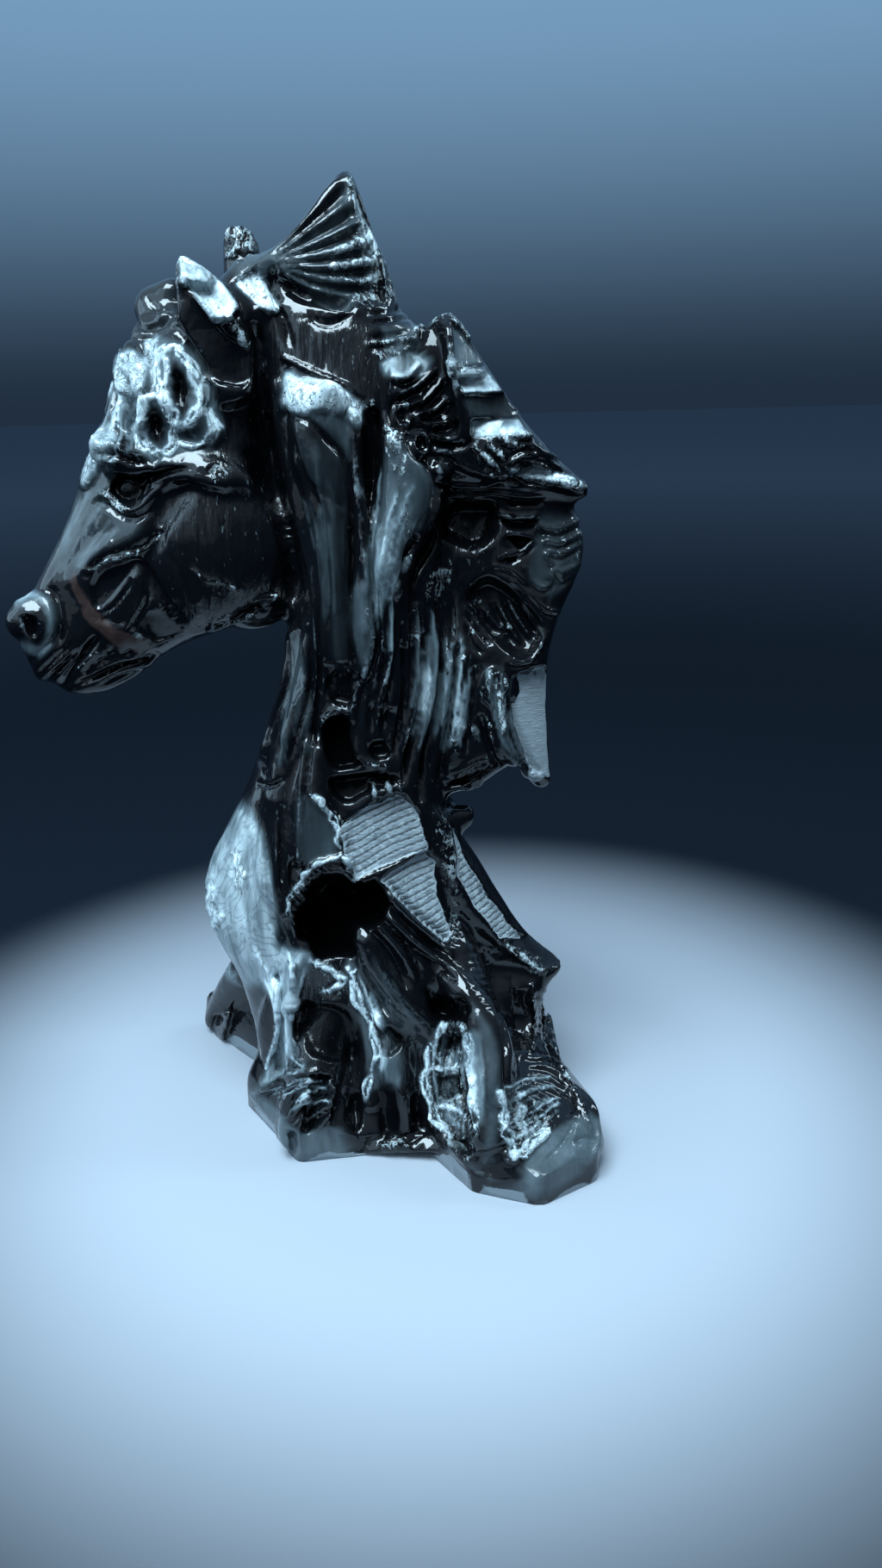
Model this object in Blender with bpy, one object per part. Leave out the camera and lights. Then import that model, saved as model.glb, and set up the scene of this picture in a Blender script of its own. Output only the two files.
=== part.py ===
"""Horse head sculpture, carved together with its foot from one block of black volcanic glass.

Metres, +Z up. The origin is on the flat underside below the neck, the nose points along -X, and
the side shown is the -Y side. Stations are in drawn millimetres, on a work 284 mm tall, and MM
turns them into metres. The carving of each side is drawn as one eye in front of that side sees it
on the middle plane Y = 0, so each line is aimed from that eye onto the surface.
"""
import math

import bmesh
import bpy
import numpy as np
from mathutils import Matrix, Vector
from mathutils.bvhtree import BVHTree

# Driving sizes
HEIGHT = 0.284            # underside to the tip of the top lock of the mane
SKIRT = 0.012             # height of the foot's upright rim
SAW_PITCH = 0.005         # spacing of the ribs that the saw left on the cut faces
FLUTE_PITCH = 0.0055      # spacing of the upright flutes of the mane
FLUTED_WIDTH = 0.036      # how much of the mane's curtain the flutes cover
SAWN_HEIGHT = 0.020       # height of the ribbed cut face under the neck

DRAWN_HEIGHT = 284
MM = HEIGHT / DRAWN_HEIGHT
GRAIN = 1.2               # drawn mm, size of the cells that join the forms
TRIANGLES = 9850          # how many flat triangles the finished solid has
EYE = Vector((3.5, -352.7, 233.9))
NEAR = -1
FAR = 1
SEAT = 20                 # drawn mm, how far in front of the middle plane the base is drawn
FACE_REACH = (12, -2)     # drawn mm, how far above and below a cut face the skin is drawn onto it
BELOW = -4                # drawn mm, how far the forms run on below the underside before it is cut


def through(points, steps):
    """A smooth curve through the points, as rows of numbers."""
    rows = np.asarray(points, float)
    ends = np.vstack([2 * rows[0] - rows[1], rows, 2 * rows[-1] - rows[-2]])
    out = []
    for a, b, c, d in zip(ends, ends[1:], ends[2:], ends[3:]):
        for t in np.arange(steps) / steps:
            out.append(0.5 * (2 * b + (c - a) * t + (2 * a - 5 * b + 4 * c - d) * t ** 2
                              + (3 * b - a - 3 * c + d) * t ** 3))
    out.append(rows[-1])
    return np.array(out)


def straight_sides(corners, steps):
    """Points along the straight sides of a closed outline."""
    sides = zip(corners, np.roll(corners, -1, axis=0))
    return np.array([a + (b - a) * t for a, b in sides for t in np.arange(steps) / steps])


def seen(x, z, y):
    """The place at depth y that the near eye sees at x, z on the middle plane."""
    share = 1 - y / EYE.y
    return np.array([EYE.x + (x - EYE.x) * share, y, EYE.z + (z - EYE.z) * share])


def solid_from_rings(rings):
    """A closed mesh through equal rings of points, with a flat cap at each end."""
    rings = np.asarray(rings)
    count, around = rings.shape[:2]
    mesh = bmesh.new()
    verts = [mesh.verts.new(point) for point in rings.reshape(-1, 3) * MM]
    for i in range(count - 1):
        for j in range(around):
            a = i * around + j
            b = i * around + (j + 1) % around
            mesh.faces.new((verts[a], verts[b], verts[b + around], verts[a + around]))
    mesh.faces.new(verts[around - 1::-1])
    mesh.faces.new(verts[-around:])
    bmesh.ops.recalc_face_normals(mesh, faces=mesh.faces)
    return mesh


def ribbed(ribs, mid=0.0, square=2.0, taper=0.0, around=32, steps=3):
    """A form through ribs: front x and z, back x and z, and the half depth on the near and far side."""
    rows = through([rib if len(rib) > 5 else (*rib, rib[4]) for rib in ribs], steps)
    turn = np.linspace(0, 2 * math.pi, around, endpoint=False)
    forward = np.sign(np.cos(turn)) * np.abs(np.cos(turn)) ** (2 / square)
    across = np.sign(np.sin(turn)) * np.abs(np.sin(turn)) ** (2 / square)
    rings = []
    for front_x, front_z, back_x, back_z, near, far in rows:
        depth = np.where(across < 0, near, far) * (1 - taper * forward)
        x = (front_x + back_x) / 2 + forward * (front_x - back_x) / 2
        z = (front_z + back_z) / 2 + forward * (front_z - back_z) / 2
        rings.append(np.stack([x, mid + across * depth, z], 1))
    return solid_from_rings(rings)


def rope(path, steps=4, around=14):
    """A rounded strand along x, y, z, radius."""
    rows = through(path, steps)
    rows = np.vstack([rounded_end(rows[0], rows[1])[::-1], rows, rounded_end(rows[-1], rows[-2])])
    turn = np.linspace(0, 2 * math.pi, around, endpoint=False)
    rings = []
    for i, row in enumerate(rows):
        before = rows[max(i - 1, 0)][:3]
        after = rows[min(i + 1, len(rows) - 1)][:3]
        run = (after - before) / np.linalg.norm(after - before)
        side = np.cross(run, (0.05, 1, 0.03))
        side /= np.linalg.norm(side)
        up = np.cross(side, run)
        rings.append(row[:3] + row[3] * (np.outer(np.cos(turn), side) + np.outer(np.sin(turn), up)))
    return solid_from_rings(rings)


def rounded_end(last, inner):
    """Two more rows that round off a strand beyond its last row."""
    run = (last[:3] - inner[:3]) / np.linalg.norm(last[:3] - inner[:3])
    rows = []
    for turn in (0.6, 1.2):
        rows.append([*(last[:3] + run * last[3] * math.sin(turn)), last[3] * math.cos(turn)])
    return np.array(rows)


def ball(centre, radii, tilt=0.0):
    """An egg shape, turned by tilt degrees in the plane of the profile."""
    mesh = bmesh.new()
    bmesh.ops.create_icosphere(mesh, subdivisions=4, radius=1)
    stretch = Matrix.Diagonal((*(Vector(radii) * MM), 1))
    turn = Matrix.Rotation(math.radians(tilt), 4, "Y")
    place = Matrix.Translation(Vector(centre) * MM)
    bmesh.ops.transform(mesh, matrix=place @ turn @ stretch, verts=mesh.verts)
    return mesh


def mirrored(mesh):
    """The same form on the other side of the middle plane."""
    twin = mesh.copy()
    bmesh.ops.scale(twin, vec=(1, -1, 1), verts=twin.verts)
    bmesh.ops.reverse_faces(twin, faces=twin.faces)
    return twin


def on_both_sides(meshes):
    return meshes + [mirrored(mesh) for mesh in meshes]


def head():
    """The skull, lips, cheeks, brows, eyes and nostrils."""
    skull = ribbed([
        (-121, 167, -119, 151, 8), (-117.5, 173, -116, 147, 10.5), (-112.5, 181, -108, 145, 12),
        (-108, 188, -99, 146, 12), (-104, 195, -90, 150, 13), (-100, 203, -80, 155, 15.5),
        (-96, 211, -70, 160, 18.5), (-92, 219, -58, 164, 20), (-87, 228, -48, 170, 20),
        (-81, 238, -42, 182, 19), (-73, 247, -41, 200, 17), (-62, 255, -42, 217, 14),
        (-52, 258, -44, 232, 10)], square=2.2, taper=0.22)
    lips = [
        ribbed([(-103, 164, -99, 153, 9), (-110, 161, -106, 151, 10), (-116, 157, -111, 147, 9.5),
                (-120.3, 150.5, -117, 146, 6)], square=2.4),
        ribbed([(-97, 160, -95, 147, 9), (-105, 153, -101, 143.7, 9.5), (-110, 148, -105, 143.4, 8),
                (-112.6, 145, -109, 143.6, 5)], square=2.4),
        ribbed([(-108, 149, -106, 143.4, 7), (-100, 153, -98, 143.8, 9.5), (-93, 157, -91, 146.6, 9.5),
                (-86, 159, -84, 149.8, 8.5), (-82, 160, -80.5, 153.6, 6)], square=2.4)]
    features = [
        ball(seen(-61, 186, -13), (20.5, 10.5, 23)),
        ball((-51, -8, 172), (12, 9, 10.3)),
        ball(seen(-84, 211, -14), (10, 6.5, 5), 20),
        ball(seen(-84, 201.5, -15.5), (4.6, 3.6, 4.4)),
        rope([(*seen(-80, 206, -14), 3.5), (*seen(-70, 207.5, -18), 4.2), (*seen(-59, 206, -19.5), 4.5),
              (*seen(-50, 203, -18), 3)]),
        rope([(*seen(-108, 164, -6), 6), (*seen(-115, 165, -7.5), 7), (*seen(-120.5, 164.5, -8), 6.4)])]
    return [skull] + lips + on_both_sides(features)


def forelock():
    """The curls and strands of hair over the forehead."""
    curls = [
        ball((-72.5, 1, 251), (8, 8, 6.5)),
        ball((-67, 0, 255), (5, 7, 4)),
        ribbed([(-74, 250, -62, 246, 8), (-79, 243, -62, 239, 10), (-84.5, 235, -60, 232, 12),
                (-84.5, 228, -60, 226, 14), (-87, 222, -62, 220, 14), (-91, 216, -66, 214, 13),
                (-94, 211, -74, 210, 11)], square=2.3)]
    strands = [
        rope([(*seen(-69, 247, -7), 5), (*seen(-66, 237, -13), 6.5), (*seen(-65, 228, -15.5), 6.5),
              (*seen(-62, 221, -17), 5)]),
        rope([(*seen(-75, 244, -6), 5), (*seen(-76, 233, -11), 6.5), (*seen(-75, 224, -14), 6.5),
              (*seen(-74, 217, -15), 4)]),
        rope([(*seen(-80, 236, -3), 5), (*seen(-83, 226, -6), 5.5), (*seen(-88, 217, -8), 4.5),
              (*seen(-90, 212, -9), 3)])]
    return curls + on_both_sides(strands)


def ear(ribs, y):
    """An ear from ribs drawn as the near eye sees them at depth y."""
    rows = []
    for front_x, front_z, back_x, back_z, half in ribs:
        front = seen(front_x, front_z, y)
        back = seen(back_x, back_z, y)
        rows.append((front[0], front[2], back[0], back[2], half))
    return ribbed(rows, mid=y)


def ears():
    """Both ears, and the poll between them."""
    near = ear([(-65, 265, -63, 265, 1.6), (-66, 257, -57.5, 260.5, 4.5), (-66.3, 248, -51.5, 254.5, 6.5),
                (-65.5, 240, -47.5, 246, 7), (-62.5, 232, -45.5, 236, 7), (-58, 224, -46, 227, 6)], -15)
    far = ear([(-52, 270, -47, 271.5, 2.5), (-52.5, 265, -43, 268, 5), (-53, 257, -42, 261, 7),
               (-54, 247, -42, 250, 8), (-55, 238, -43, 240, 8)], 15)
    poll = ball((-44, 0, 251), (13, 14, 11.5))
    return [near, far, poll]


def neck():
    """The neck and chest, down to the foot."""
    core = ribbed([
        (-52, 254, -14, 254, 11), (-50, 246, -4, 249, 15), (-46, 232, 1, 241, 18), (-42, 214, 5, 222, 20),
        (-41, 195, 6, 196, 21), (-41, 176, 6, 176, 21), (-42, 158, 6, 157, 22), (-46, 142, 6, 138, 23),
        (-51, 128, 5, 120, 24), (-57, 113, 6, 106, 26), (-65, 98, 7, 95, 27, 29), (-72, 85, 8, 85, 28, 31),
        (-74, 72, 10, 74, 29, 32), (-71, 60, 14, 62, 29, 34), (-66, 48, 20, 50, 29, 35),
        (-63, 34, 25, 34, 30, 36), (-61, 20, 29, 18, 31, 36), (-60, 8, 30, 6, 31, 36)],
        square=2.4, taper=0.12, around=44)
    return [core]


def mane():
    """The upright top lock, the ledge of the second lock and the curtain that hangs from it."""
    top_lock = ribbed([
        (-50, 263, -47, 254, 8), (-40, 265, -37, 252, 11), (-33, 269.5, -28, 250, 12),
        (-26, 277.3, -19, 248.5, 11), (-19.5, 284, -8, 248, 9), (-16.5, 284.6, -4.5, 249, 6)], square=2.8)
    second_lock = ribbed([
        (-14, 249, -8, 205, 16), (0, 243.5, -2, 203, 17), (8, 247.5, 6, 202.5, 14),
        (13, 243, 13, 201.5, 14), (20, 233, 20, 200.5, 13.5), (28, 221.5, 28, 199.5, 12.5),
        (38, 210, 38, 198, 10.5), (48.5, 200.5, 48, 196.5, 5)], square=3.0)
    curtain = ribbed([
        (-6, 204, 42, 199, 8, 11), (-6, 194, 45, 193, 7, 12), (-6, 184, 47.5, 184, 8, 12),
        (-6, 175, 46, 175, 9, 13), (-8, 164, 41, 164, 11, 13), (-10, 153, 37.5, 153, 14, 13),
        (-10, 142, 36.5, 142, 15, 13), (-10, 130, 36.6, 131, 15, 12), (-10, 121, 35, 122, 15, 12),
        (-9, 114, 27, 118.5, 13, 10), (-6, 107, 17, 111.5, 11, 9)], square=3.2, around=44)
    corner = ribbed([
        (20, 134, 36.6, 133, 9, 8), (25, 124, 37, 124, 8, 7), (28.5, 116, 37.8, 115, 7, 6),
        (31, 111, 38.2, 110.5, 5, 4.5), (33.5, 108, 37.6, 108.5, 3, 3)], mid=-2, square=2.6)
    return [top_lock, second_lock, curtain, corner]


def fin():
    """The thin flange that leaves the back of the base and ends in a point."""
    blade = ribbed([
        (-6, 112, 6, 104, 14, 12), (-6, 98, 9.5, 94, 14, 12), (-6, 86, 15.5, 84, 13, 12),
        (-6, 75, 21.5, 73, 12, 11), (-6, 63, 31, 58, 9, 9), (-4, 52, 42.5, 47.5, 7, 7),
        (-4, 44, 38, 42, 12, 10), (-2, 34, 35, 32, 14, 12), (0, 22, 36, 18, 18, 14)], mid=-6, square=2.2)
    return [blade]


def foot():
    """The spread foot: its spurs and hollows at each level, drawn in towards the waist."""
    rim = SKIRT / MM
    spread = np.array([
        (-88, 39), (-62, 10), (-64.5, -13), (-44, -44), (-22, -41), (-3, -41), (10, -60), (30, -67),
        (48, -56), (50.5, -43), (42, 2), (43, 22), (30, 40), (6, 46), (-20, 43), (-48, 50), (-70, 45)])
    waist = np.array([
        (-54, 20), (-52, 10), (-52, -4), (-42, -18), (-22, -20), (-9, -19), (-2, -18), (4, -17), (8, -14),
        (9, -8), (9, 2), (9, 10), (6, 18), (0, 23), (-20, 26), (-40, 27), (-50, 25)])
    # Each level is its height and how far the outline is drawn in from the spread to the waist.
    levels = [(BELOW, 0), (rim * 0.5, 0), (rim, 0.05), (rim * 1.5, 0.28), (rim * 2.2, 0.5),
              (rim * 3.2, 0.75), (rim * 4.5, 0.95), (rim * 5.2, 1)]
    rows = []
    for height, drawn_in in levels:
        outline = (1 - drawn_in) * spread + drawn_in * waist
        closed = straight_sides(outline, 5)
        rows.append(np.column_stack([closed, np.full(len(closed), height)]).ravel())
    rings = through(rows, 3)
    return [solid_from_rings(rings.reshape(len(rings), -1, 3))]


def ridges_of_the_foot():
    """Rounded ridges that run from the body down to the spurs of the foot."""
    return [
        rope([(6, -20, 62, 7), (11, -28, 48, 8), (16, -38, 32, 8.5), (21, -50, 16, 8), (26, -59, 4, 6)]),
        rope([(-26, -22, 54, 6), (-33, -28, 40, 7.5), (-39, -34, 24, 8.5), (-44, -39, 8, 7)]),
        rope([(-12, -24, 52, 5), (-14, -29, 36, 6), (-12, -34, 20, 6), (-12, -37, 6, 5)]),
        rope([(-58, 14, 48, 8), (-66, 22, 33, 8), (-75, 31, 18, 7), (-83, 36, 5, 5)]),
        rope([(28, -14, 28, 5), (34, -28, 18, 6), (42, -41, 12, 7.5), (45.5, -48, 8, 6)]),
        rope([(20, 16, 50, 8), (27, 25, 28, 9), (32, 32, 8, 8)]),
        rope([(-40, 26, 50, 8), (-45, 36, 26, 9), (-47, 43, 8, 7)])]


def bmesh_of(body):
    mesh = bmesh.new()
    mesh.from_mesh(body.data)
    bpy.data.objects.remove(body, do_unlink=True)
    return mesh


def join(meshes, name, smoothing):
    """Joins closed forms into one skin, with the edges between them softened."""
    whole = bmesh.new()
    for mesh in meshes:
        part = bpy.data.meshes.new("form")
        mesh.to_mesh(part)
        mesh.free()
        whole.from_mesh(part)
        bpy.data.meshes.remove(part)
    data = bpy.data.meshes.new(name)
    whole.to_mesh(data)
    whole.free()
    body = bpy.data.objects.new(name, data)
    bpy.context.scene.collection.objects.link(body)
    skin(body, smoothing)
    return body


def apply_modifiers(body):
    """Makes what the modifiers show the object's own mesh."""
    graph = bpy.context.evaluated_depsgraph_get()
    result = bpy.data.meshes.new_from_object(body.evaluated_get(graph))
    body.modifiers.clear()
    body.data = result


def skin(body, smoothing):
    """One even skin of small faces over everything that the object holds."""
    cells = body.modifiers.new("Skin", "REMESH")
    cells.mode = "VOXEL"
    cells.voxel_size = GRAIN * MM
    if smoothing:
        soften = body.modifiers.new("Soften", "SMOOTH")
        soften.iterations = smoothing
    apply_modifiers(body)


class Carving:
    """Relief cut into a body's skin, summed from strokes and applied once."""

    def __init__(self, body):
        self.body = body
        count = len(body.data.vertices)
        flat = np.empty(count * 3)
        body.data.vertices.foreach_get("co", flat)
        self.points = flat.reshape(-1, 3) / MM
        body.data.vertex_normals.foreach_get("vector", flat)
        self.normals = flat.reshape(-1, 3).copy()
        self.tree = BVHTree.FromPolygons([Vector(point) for point in self.points],
                                         [face.vertices for face in body.data.polygons])
        self.cut = self.points.copy()
        self.relief = np.zeros(count)
        self.push = np.zeros(count)

    def aim(self, path, side=NEAR, plane=0.0):
        """Path points x, z as one eye sees them on a plane, dropped onto the skin."""
        eye = Vector((EYE.x, -side * EYE.y, EYE.z))
        hits = []
        for x, z in path:
            target = Vector((x, side * plane, z))
            hit = self.tree.ray_cast(eye, target - eye)[0]
            hits.append(hit or self.tree.find_nearest(target)[0])
        return np.array(hits)

    def near_path(self, path, reach):
        """Vertices within reach of the path, their distance, side and place along it."""
        low = path.min(0) - reach
        high = path.max(0) + reach
        chosen = np.flatnonzero(((self.points > low) & (self.points < high)).all(1))
        points = self.points[chosen]
        best = np.full(len(chosen), np.inf)
        along = np.zeros(len(chosen))
        left = np.zeros(len(chosen))
        for i, (a, b) in enumerate(zip(path, path[1:])):
            run = b - a
            t = np.clip((points - a) @ run / max(run @ run, 1e-9), 0, 1)
            off = points - a - t[:, None] * run
            distance = np.linalg.norm(off, axis=1)
            closer = distance < best
            best[closer] = distance[closer]
            along[closer] = (i + t[closer]) / (len(path) - 1)
            left[closer] = np.sign(np.cross(run, off)[closer, 1])
        inside = best < reach
        return chosen[inside], best[inside], left[inside], along[inside]

    def stroke(self, path, width, depth, kind="groove", side=NEAR, plane=0.0, ends=0.15):
        """Cuts (depth over 0) or raises (under 0) the skin along a path of x, z points."""
        route = self.aim(through(path, 5), side, plane)
        chosen, distance, left, along = self.near_path(route, width)
        t = distance / width
        if kind == "step":
            shape = np.where(left > 0, (1 - t) ** 1.5, np.clip(1 - 4 * t, 0, 1))
        elif kind == "pit":
            shape = 1 - t ** 4
        else:
            shape = (1 - t ** 2) ** 2
        if kind != "pit":
            fade = np.clip(np.minimum(along, 1 - along) / ends, 0, 1)
            shape = shape * fade * (2 - fade)
        facing = self.normals[chosen, 1] * side
        shape = shape * np.clip(facing * 3 + 1, 0, 1)
        if kind == "pit":
            self.push[chosen] -= side * depth * shape
        else:
            self.relief[chosen] -= depth * shape

    def flatten(self, outline, depth, plane=0.0, side=NEAR):
        """Cuts a flat face inside an outline of x, z points, depth below the level of its corners."""
        corners = self.aim(outline, side, plane)
        middle = corners.mean(0)
        normal = np.linalg.svd(corners - middle)[2][2]
        normal *= np.sign(normal[1]) * side
        middle = middle - normal * depth
        share = (plane + EYE.y) / (self.points[:, 1] * side + EYE.y)
        x = EYE.x + (self.points[:, 0] - EYE.x) * share
        z = EYE.z + (self.points[:, 2] - EYE.z) * share
        inside = np.zeros(len(x), bool)
        for (x1, z1), (x2, z2) in zip(outline, outline[1:] + outline[:1]):
            crosses = (z1 > z) != (z2 > z)
            at = x1 + (z - z1) * (x2 - x1) / (z2 - z1 if z2 != z1 else 1e-9)
            inside ^= crosses & (x < at)
        height = (self.points - middle) @ normal
        highest, lowest = FACE_REACH
        inside &= (height < highest) & (height > lowest) & (self.normals[:, 1] * side > 0)
        self.cut[inside] -= height[inside, None] * normal
        self.normals[inside] = normal

    def finish(self):
        """Moves the skin by everything that was cut."""
        moved = self.cut + self.normals * self.relief[:, None]
        moved[:, 1] += self.push
        self.body.data.vertices.foreach_set("co", (moved * MM).ravel())
        self.body.data.update()


def laid_on(body, strands, side, plane=0.0, sunk=0.1):
    """Strands of x, z, radius laid on one side of the body, partly sunk in it."""
    surface = Carving(body)
    eye = np.array((EYE.x, -side * EYE.y, EYE.z))
    ropes = []
    for strand in strands:
        hits = surface.aim([row[:2] for row in strand], side, plane)
        rows = []
        for hit, (x, z, radius) in zip(hits, strand):
            inward = (hit - eye) / np.linalg.norm(hit - eye)
            rows.append((*(hit + inward * radius * sunk), radius))
        ropes.append(rope(rows))
    return ropes


NECK_LOCKS = [
    [(-30, 227, 8.5), (-31, 214, 8.5), (-28, 198, 8.5), (-27, 180, 8), (-27.5, 160, 7), (-28, 148, 6)],
    [(-18, 226, 5), (-18, 212, 4.5), (-19, 196, 5), (-18.5, 178, 6.5), (-18, 160, 7.5), (-19, 148, 7),
     (-20, 136, 6.5), (-17, 123, 6)],
    [(-7, 218, 5), (-6, 207, 6.5), (-8, 192, 6.5), (-11, 178, 5.5), (-11, 166, 4.5), (-10, 150, 3.5),
     (-12, 132, 3)],
    [(6, 207, 3.5), (4, 197, 3.5), (-1, 186, 4), (-7, 176, 4), (-8, 164, 3.5), (-7, 148, 3)]]
THROAT_STRAPS = [
    [(-39, 232, 3), (-40, 215, 4), (-37.5, 195, 4.5), (-35.5, 178, 4.5), (-35.5, 162, 4), (-38, 145, 4),
     (-42, 128, 5), (-46, 112, 6), (-49, 95, 6.5), (-51, 78, 6.5), (-49, 64, 4)],
    [(-41, 160, 3), (-42, 148, 3.2), (-47, 134, 3.2), (-52, 120, 3)],
    [(-34, 124, 4), (-37, 108, 6), (-39, 95, 6), (-41, 84, 5)]]
BASE_RODS = [
    [(-15, 85, 2.5), (-8, 68, 3), (1, 56, 3), (8, 47, 3)],
    [(-20, 73, 2.5), (-13, 58, 3), (-4, 46, 3), (2, 38, 3)]]
CAVE_ARCH = [[(-43, 68, 2.5), (-42, 78, 3), (-37, 87, 3.2), (-30, 91, 3.2), (-24, 88, 3), (-21, 82, 2.5)]]
FAN_ROOT = (-41, 262.5)
FAN_TOP = (-16.5, 278)
FAN_BOTTOM = (-6.5, 253)
FAN_SAG = 1.5
FAN_RIDGES = 5
FAN_FULLNESS = 0.92       # width of each ridge as a share of the space it has
EYELETS = [(-5, 221.5), (0.3, 213.5), (5.5, 207.5)]


def fan_ridges():
    """The ridges that spread over the top lock from its root to its ragged back edge."""
    root, top, bottom = (np.array(corner) for corner in (FAN_ROOT, FAN_TOP, FAN_BOTTOM))
    widest = FAN_FULLNESS * np.linalg.norm(top - bottom) / (FAN_RIDGES - 1) / 2
    ridges = []
    for i in range(FAN_RIDGES):
        share = i / (FAN_RIDGES - 1)
        tip = (1 - share) * top + share * bottom
        ridge = []
        for t in (0.2, 0.45, 0.7, 1.0):
            x, z = root + (tip - root) * t
            sag = FAN_SAG * (0.4 + share) * math.sin(math.pi * t)
            ridge.append((x, z - sag, widest * t))
        ridges.append(ridge)
    return ridges


def strands_on(body):
    """The ridges, locks, straps and rods that lie on the mane, the neck and the base."""
    ropes = laid_on(body, NECK_LOCKS + THROAT_STRAPS, NEAR)
    ropes += laid_on(body, BASE_RODS + CAVE_ARCH, NEAR, plane=SEAT)
    ropes += laid_on(body, NECK_LOCKS[:3] + THROAT_STRAPS[:1], FAR)
    for side in (NEAR, FAR):
        ropes += laid_on(body, fan_ridges(), side, sunk=-0.35)
    for place in Carving(body).aim(EYELETS):
        ropes.append(ball(place, (4.2, 2.2, 4.6)))
    return ropes


def carve_head(carving, side):
    """Nostril, mouth, eye, cheek and the grooves of the forelock."""
    carving.stroke([(-120, 165), (-119, 162)], 3.2, 4, "pit", side)
    carving.stroke([(-113, 171), (-112, 165), (-114, 158)], 2.5, 1.2, side=side)
    carving.stroke([(-117.5, 147), (-113, 148), (-109, 151), (-104, 156), (-100, 159.5)], 2.4, 2.2,
                   side=side)
    carving.stroke([(-108, 144.5), (-101, 147), (-94, 150), (-88, 151), (-82, 153)], 1.9, 1.4,
                   side=side)
    carving.stroke([(-120, 150), (-114, 155), (-108, 160)], 2.2, 1.0, side=side)
    carving.stroke([(-103, 176), (-97, 170), (-90, 167)], 7, 1.5, side=side)
    carving.stroke([(-67, 205), (-76, 196), (-82, 184), (-80, 173), (-72, 165)], 6, 2.2, side=side)
    carving.stroke([(-80, 191), (-90, 186), (-101, 179), (-108, 172)], 5, -1.4, side=side)
    carving.stroke([(-92, 207), (-87, 207.5), (-81, 206), (-76, 203)], 3, 2.6, side=side)
    carving.stroke([(-92, 200), (-87, 196.5), (-80, 198)], 2.8, 1.6, side=side)
    carving.stroke([(-79, 209), (-73, 209.5), (-66, 208.5)], 2, 2, side=side)
    carving.stroke([(-80, 201.5), (-70, 202.5), (-58, 200.5), (-50, 197)], 4, 1.6, side=side)
    carving.stroke([(-48, 220), (-45, 204), (-41.5, 192), (-40, 180)], 5, 4.5, side=side)
    carving.stroke([(-71, 247), (-71, 236), (-70, 226), (-69, 217)], 2.6, 2.4, side=side)
    carving.stroke([(-79, 243), (-80, 230), (-80, 220), (-79, 213)], 2.4, 1.8, side=side)
    carving.stroke([(-85, 233), (-88, 222), (-92, 213)], 2.2, 1.2, side=side)
    carving.stroke([(-67.5, 233), (-67, 227)], 2.6, 2.2, "pit", side)
    carving.stroke([(-75.5, 222), (-75.5, 218)], 2.4, 1.8, "pit", side)


def carve_ears(carving):
    """The hollow and chipped rim of the near ear, and the groove behind it."""
    carving.stroke([(-63, 256), (-61.5, 247), (-57, 237), (-53, 230)], 4.6, 3.2)
    carving.stroke([(-63, 263), (-56, 258), (-50, 250), (-47, 243)], 2.6, -1.6)
    carving.stroke([(-47, 259), (-43, 247), (-42, 237), (-41, 226)], 5, 4)


def carve_mane(carving, side):
    """The fan of the top lock, the facets of the second one and the flutes of the curtain."""
    carving.stroke([(-38, 258.5), (-30, 255.5), (-21, 252.5), (-15, 248)], 4, 3.5, side=side)
    for i in range(3):
        carving.stroke([(-15, 247 - 4 * i), (-8, 246 - 4 * i), (-1, 245 - 4 * i)], 1.5, 1.1, side=side)
    carving.stroke([(4, 241), (4, 229), (6, 216)], 7.5, 4.5, side=side)
    for i in range(5):
        ripple = [(-6 + i, 234 - 4 * i), (1 + i, 236 - 4 * i), (8, 241 - 4.5 * i)]
        carving.stroke(ripple, 1.4, -1.2, side=side)
    for height, left, right in ((235, 13, 23), (221.5, 14, 29), (212.5, 14, 34)):
        ledge = [(left, height), ((left + right) / 2, height + 1), (right, height)]
        carving.stroke(ledge, 4, 1.8, "step", side)
    carving.stroke([(6, 204.5), (18, 203), (32, 202), (44, 200)], 1.8, 1.5, side=side)
    carving.stroke([(9, 191), (17, 187), (26, 186), (33, 189)], 8.5, 7.5, "pit", side)
    carving.stroke([(14, 167), (22, 163), (31, 160)], 8.5, 5, "pit", side)
    for i in range(int(FLUTED_WIDTH / FLUTE_PITCH)):
        x = -6 + i * FLUTE_PITCH / MM
        carving.stroke([(x, 168 - 3 * i), (x - 2, 140), (x - 5, 109)], 2.5, 3.6, side=side, ends=0.1)


def carve_near_mane(carving):
    """The broken edge of the fan, and the bright lock and cut face at the curtain's corner."""
    carving.flatten([(-16.5, 283), (-13, 272), (-9.5, 265), (-14, 262), (-15.5, 270)], 1.8)
    carving.stroke([(28, 183), (29, 181)], 2.2, 3, "pit")
    carving.stroke([(20, 148), (22, 136), (26, 122), (31, 112)], 3.4, -2.2)
    carving.flatten([(28, 142), (36.3, 143), (37.3, 112), (33, 110), (29, 126)], 1.5)


def carve_neck(carving, side):
    """The grooves between the locks of the neck."""
    carving.stroke([(-38, 232), (-38, 215), (-33, 196), (-32, 172), (-32.5, 148)], 3, 4, side=side)
    carving.stroke([(-23, 225), (-22.5, 206), (-23, 190), (-23.5, 170), (-24, 152)], 2.8, 3,
                   side=side, ends=0.3)
    carving.stroke([(-12, 226), (-12, 208), (-13, 194), (-14.5, 178)], 3.4, 3, side=side, ends=0.5)
    carving.stroke([(0.5, 202), (-3, 189), (-8, 178), (-10, 165), (-10, 148), (-13, 125)], 2.4, 3,
                   side=side)


def carve_near_neck(carving):
    """The two deep recesses under the ends of the near locks."""
    carving.stroke([(-28, 138), (-28, 128), (-28, 118)], 5.2, 6, "pit")
    carving.stroke([(-27, 110), (-18, 109), (-9, 112)], 4.4, 5, "pit")


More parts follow.
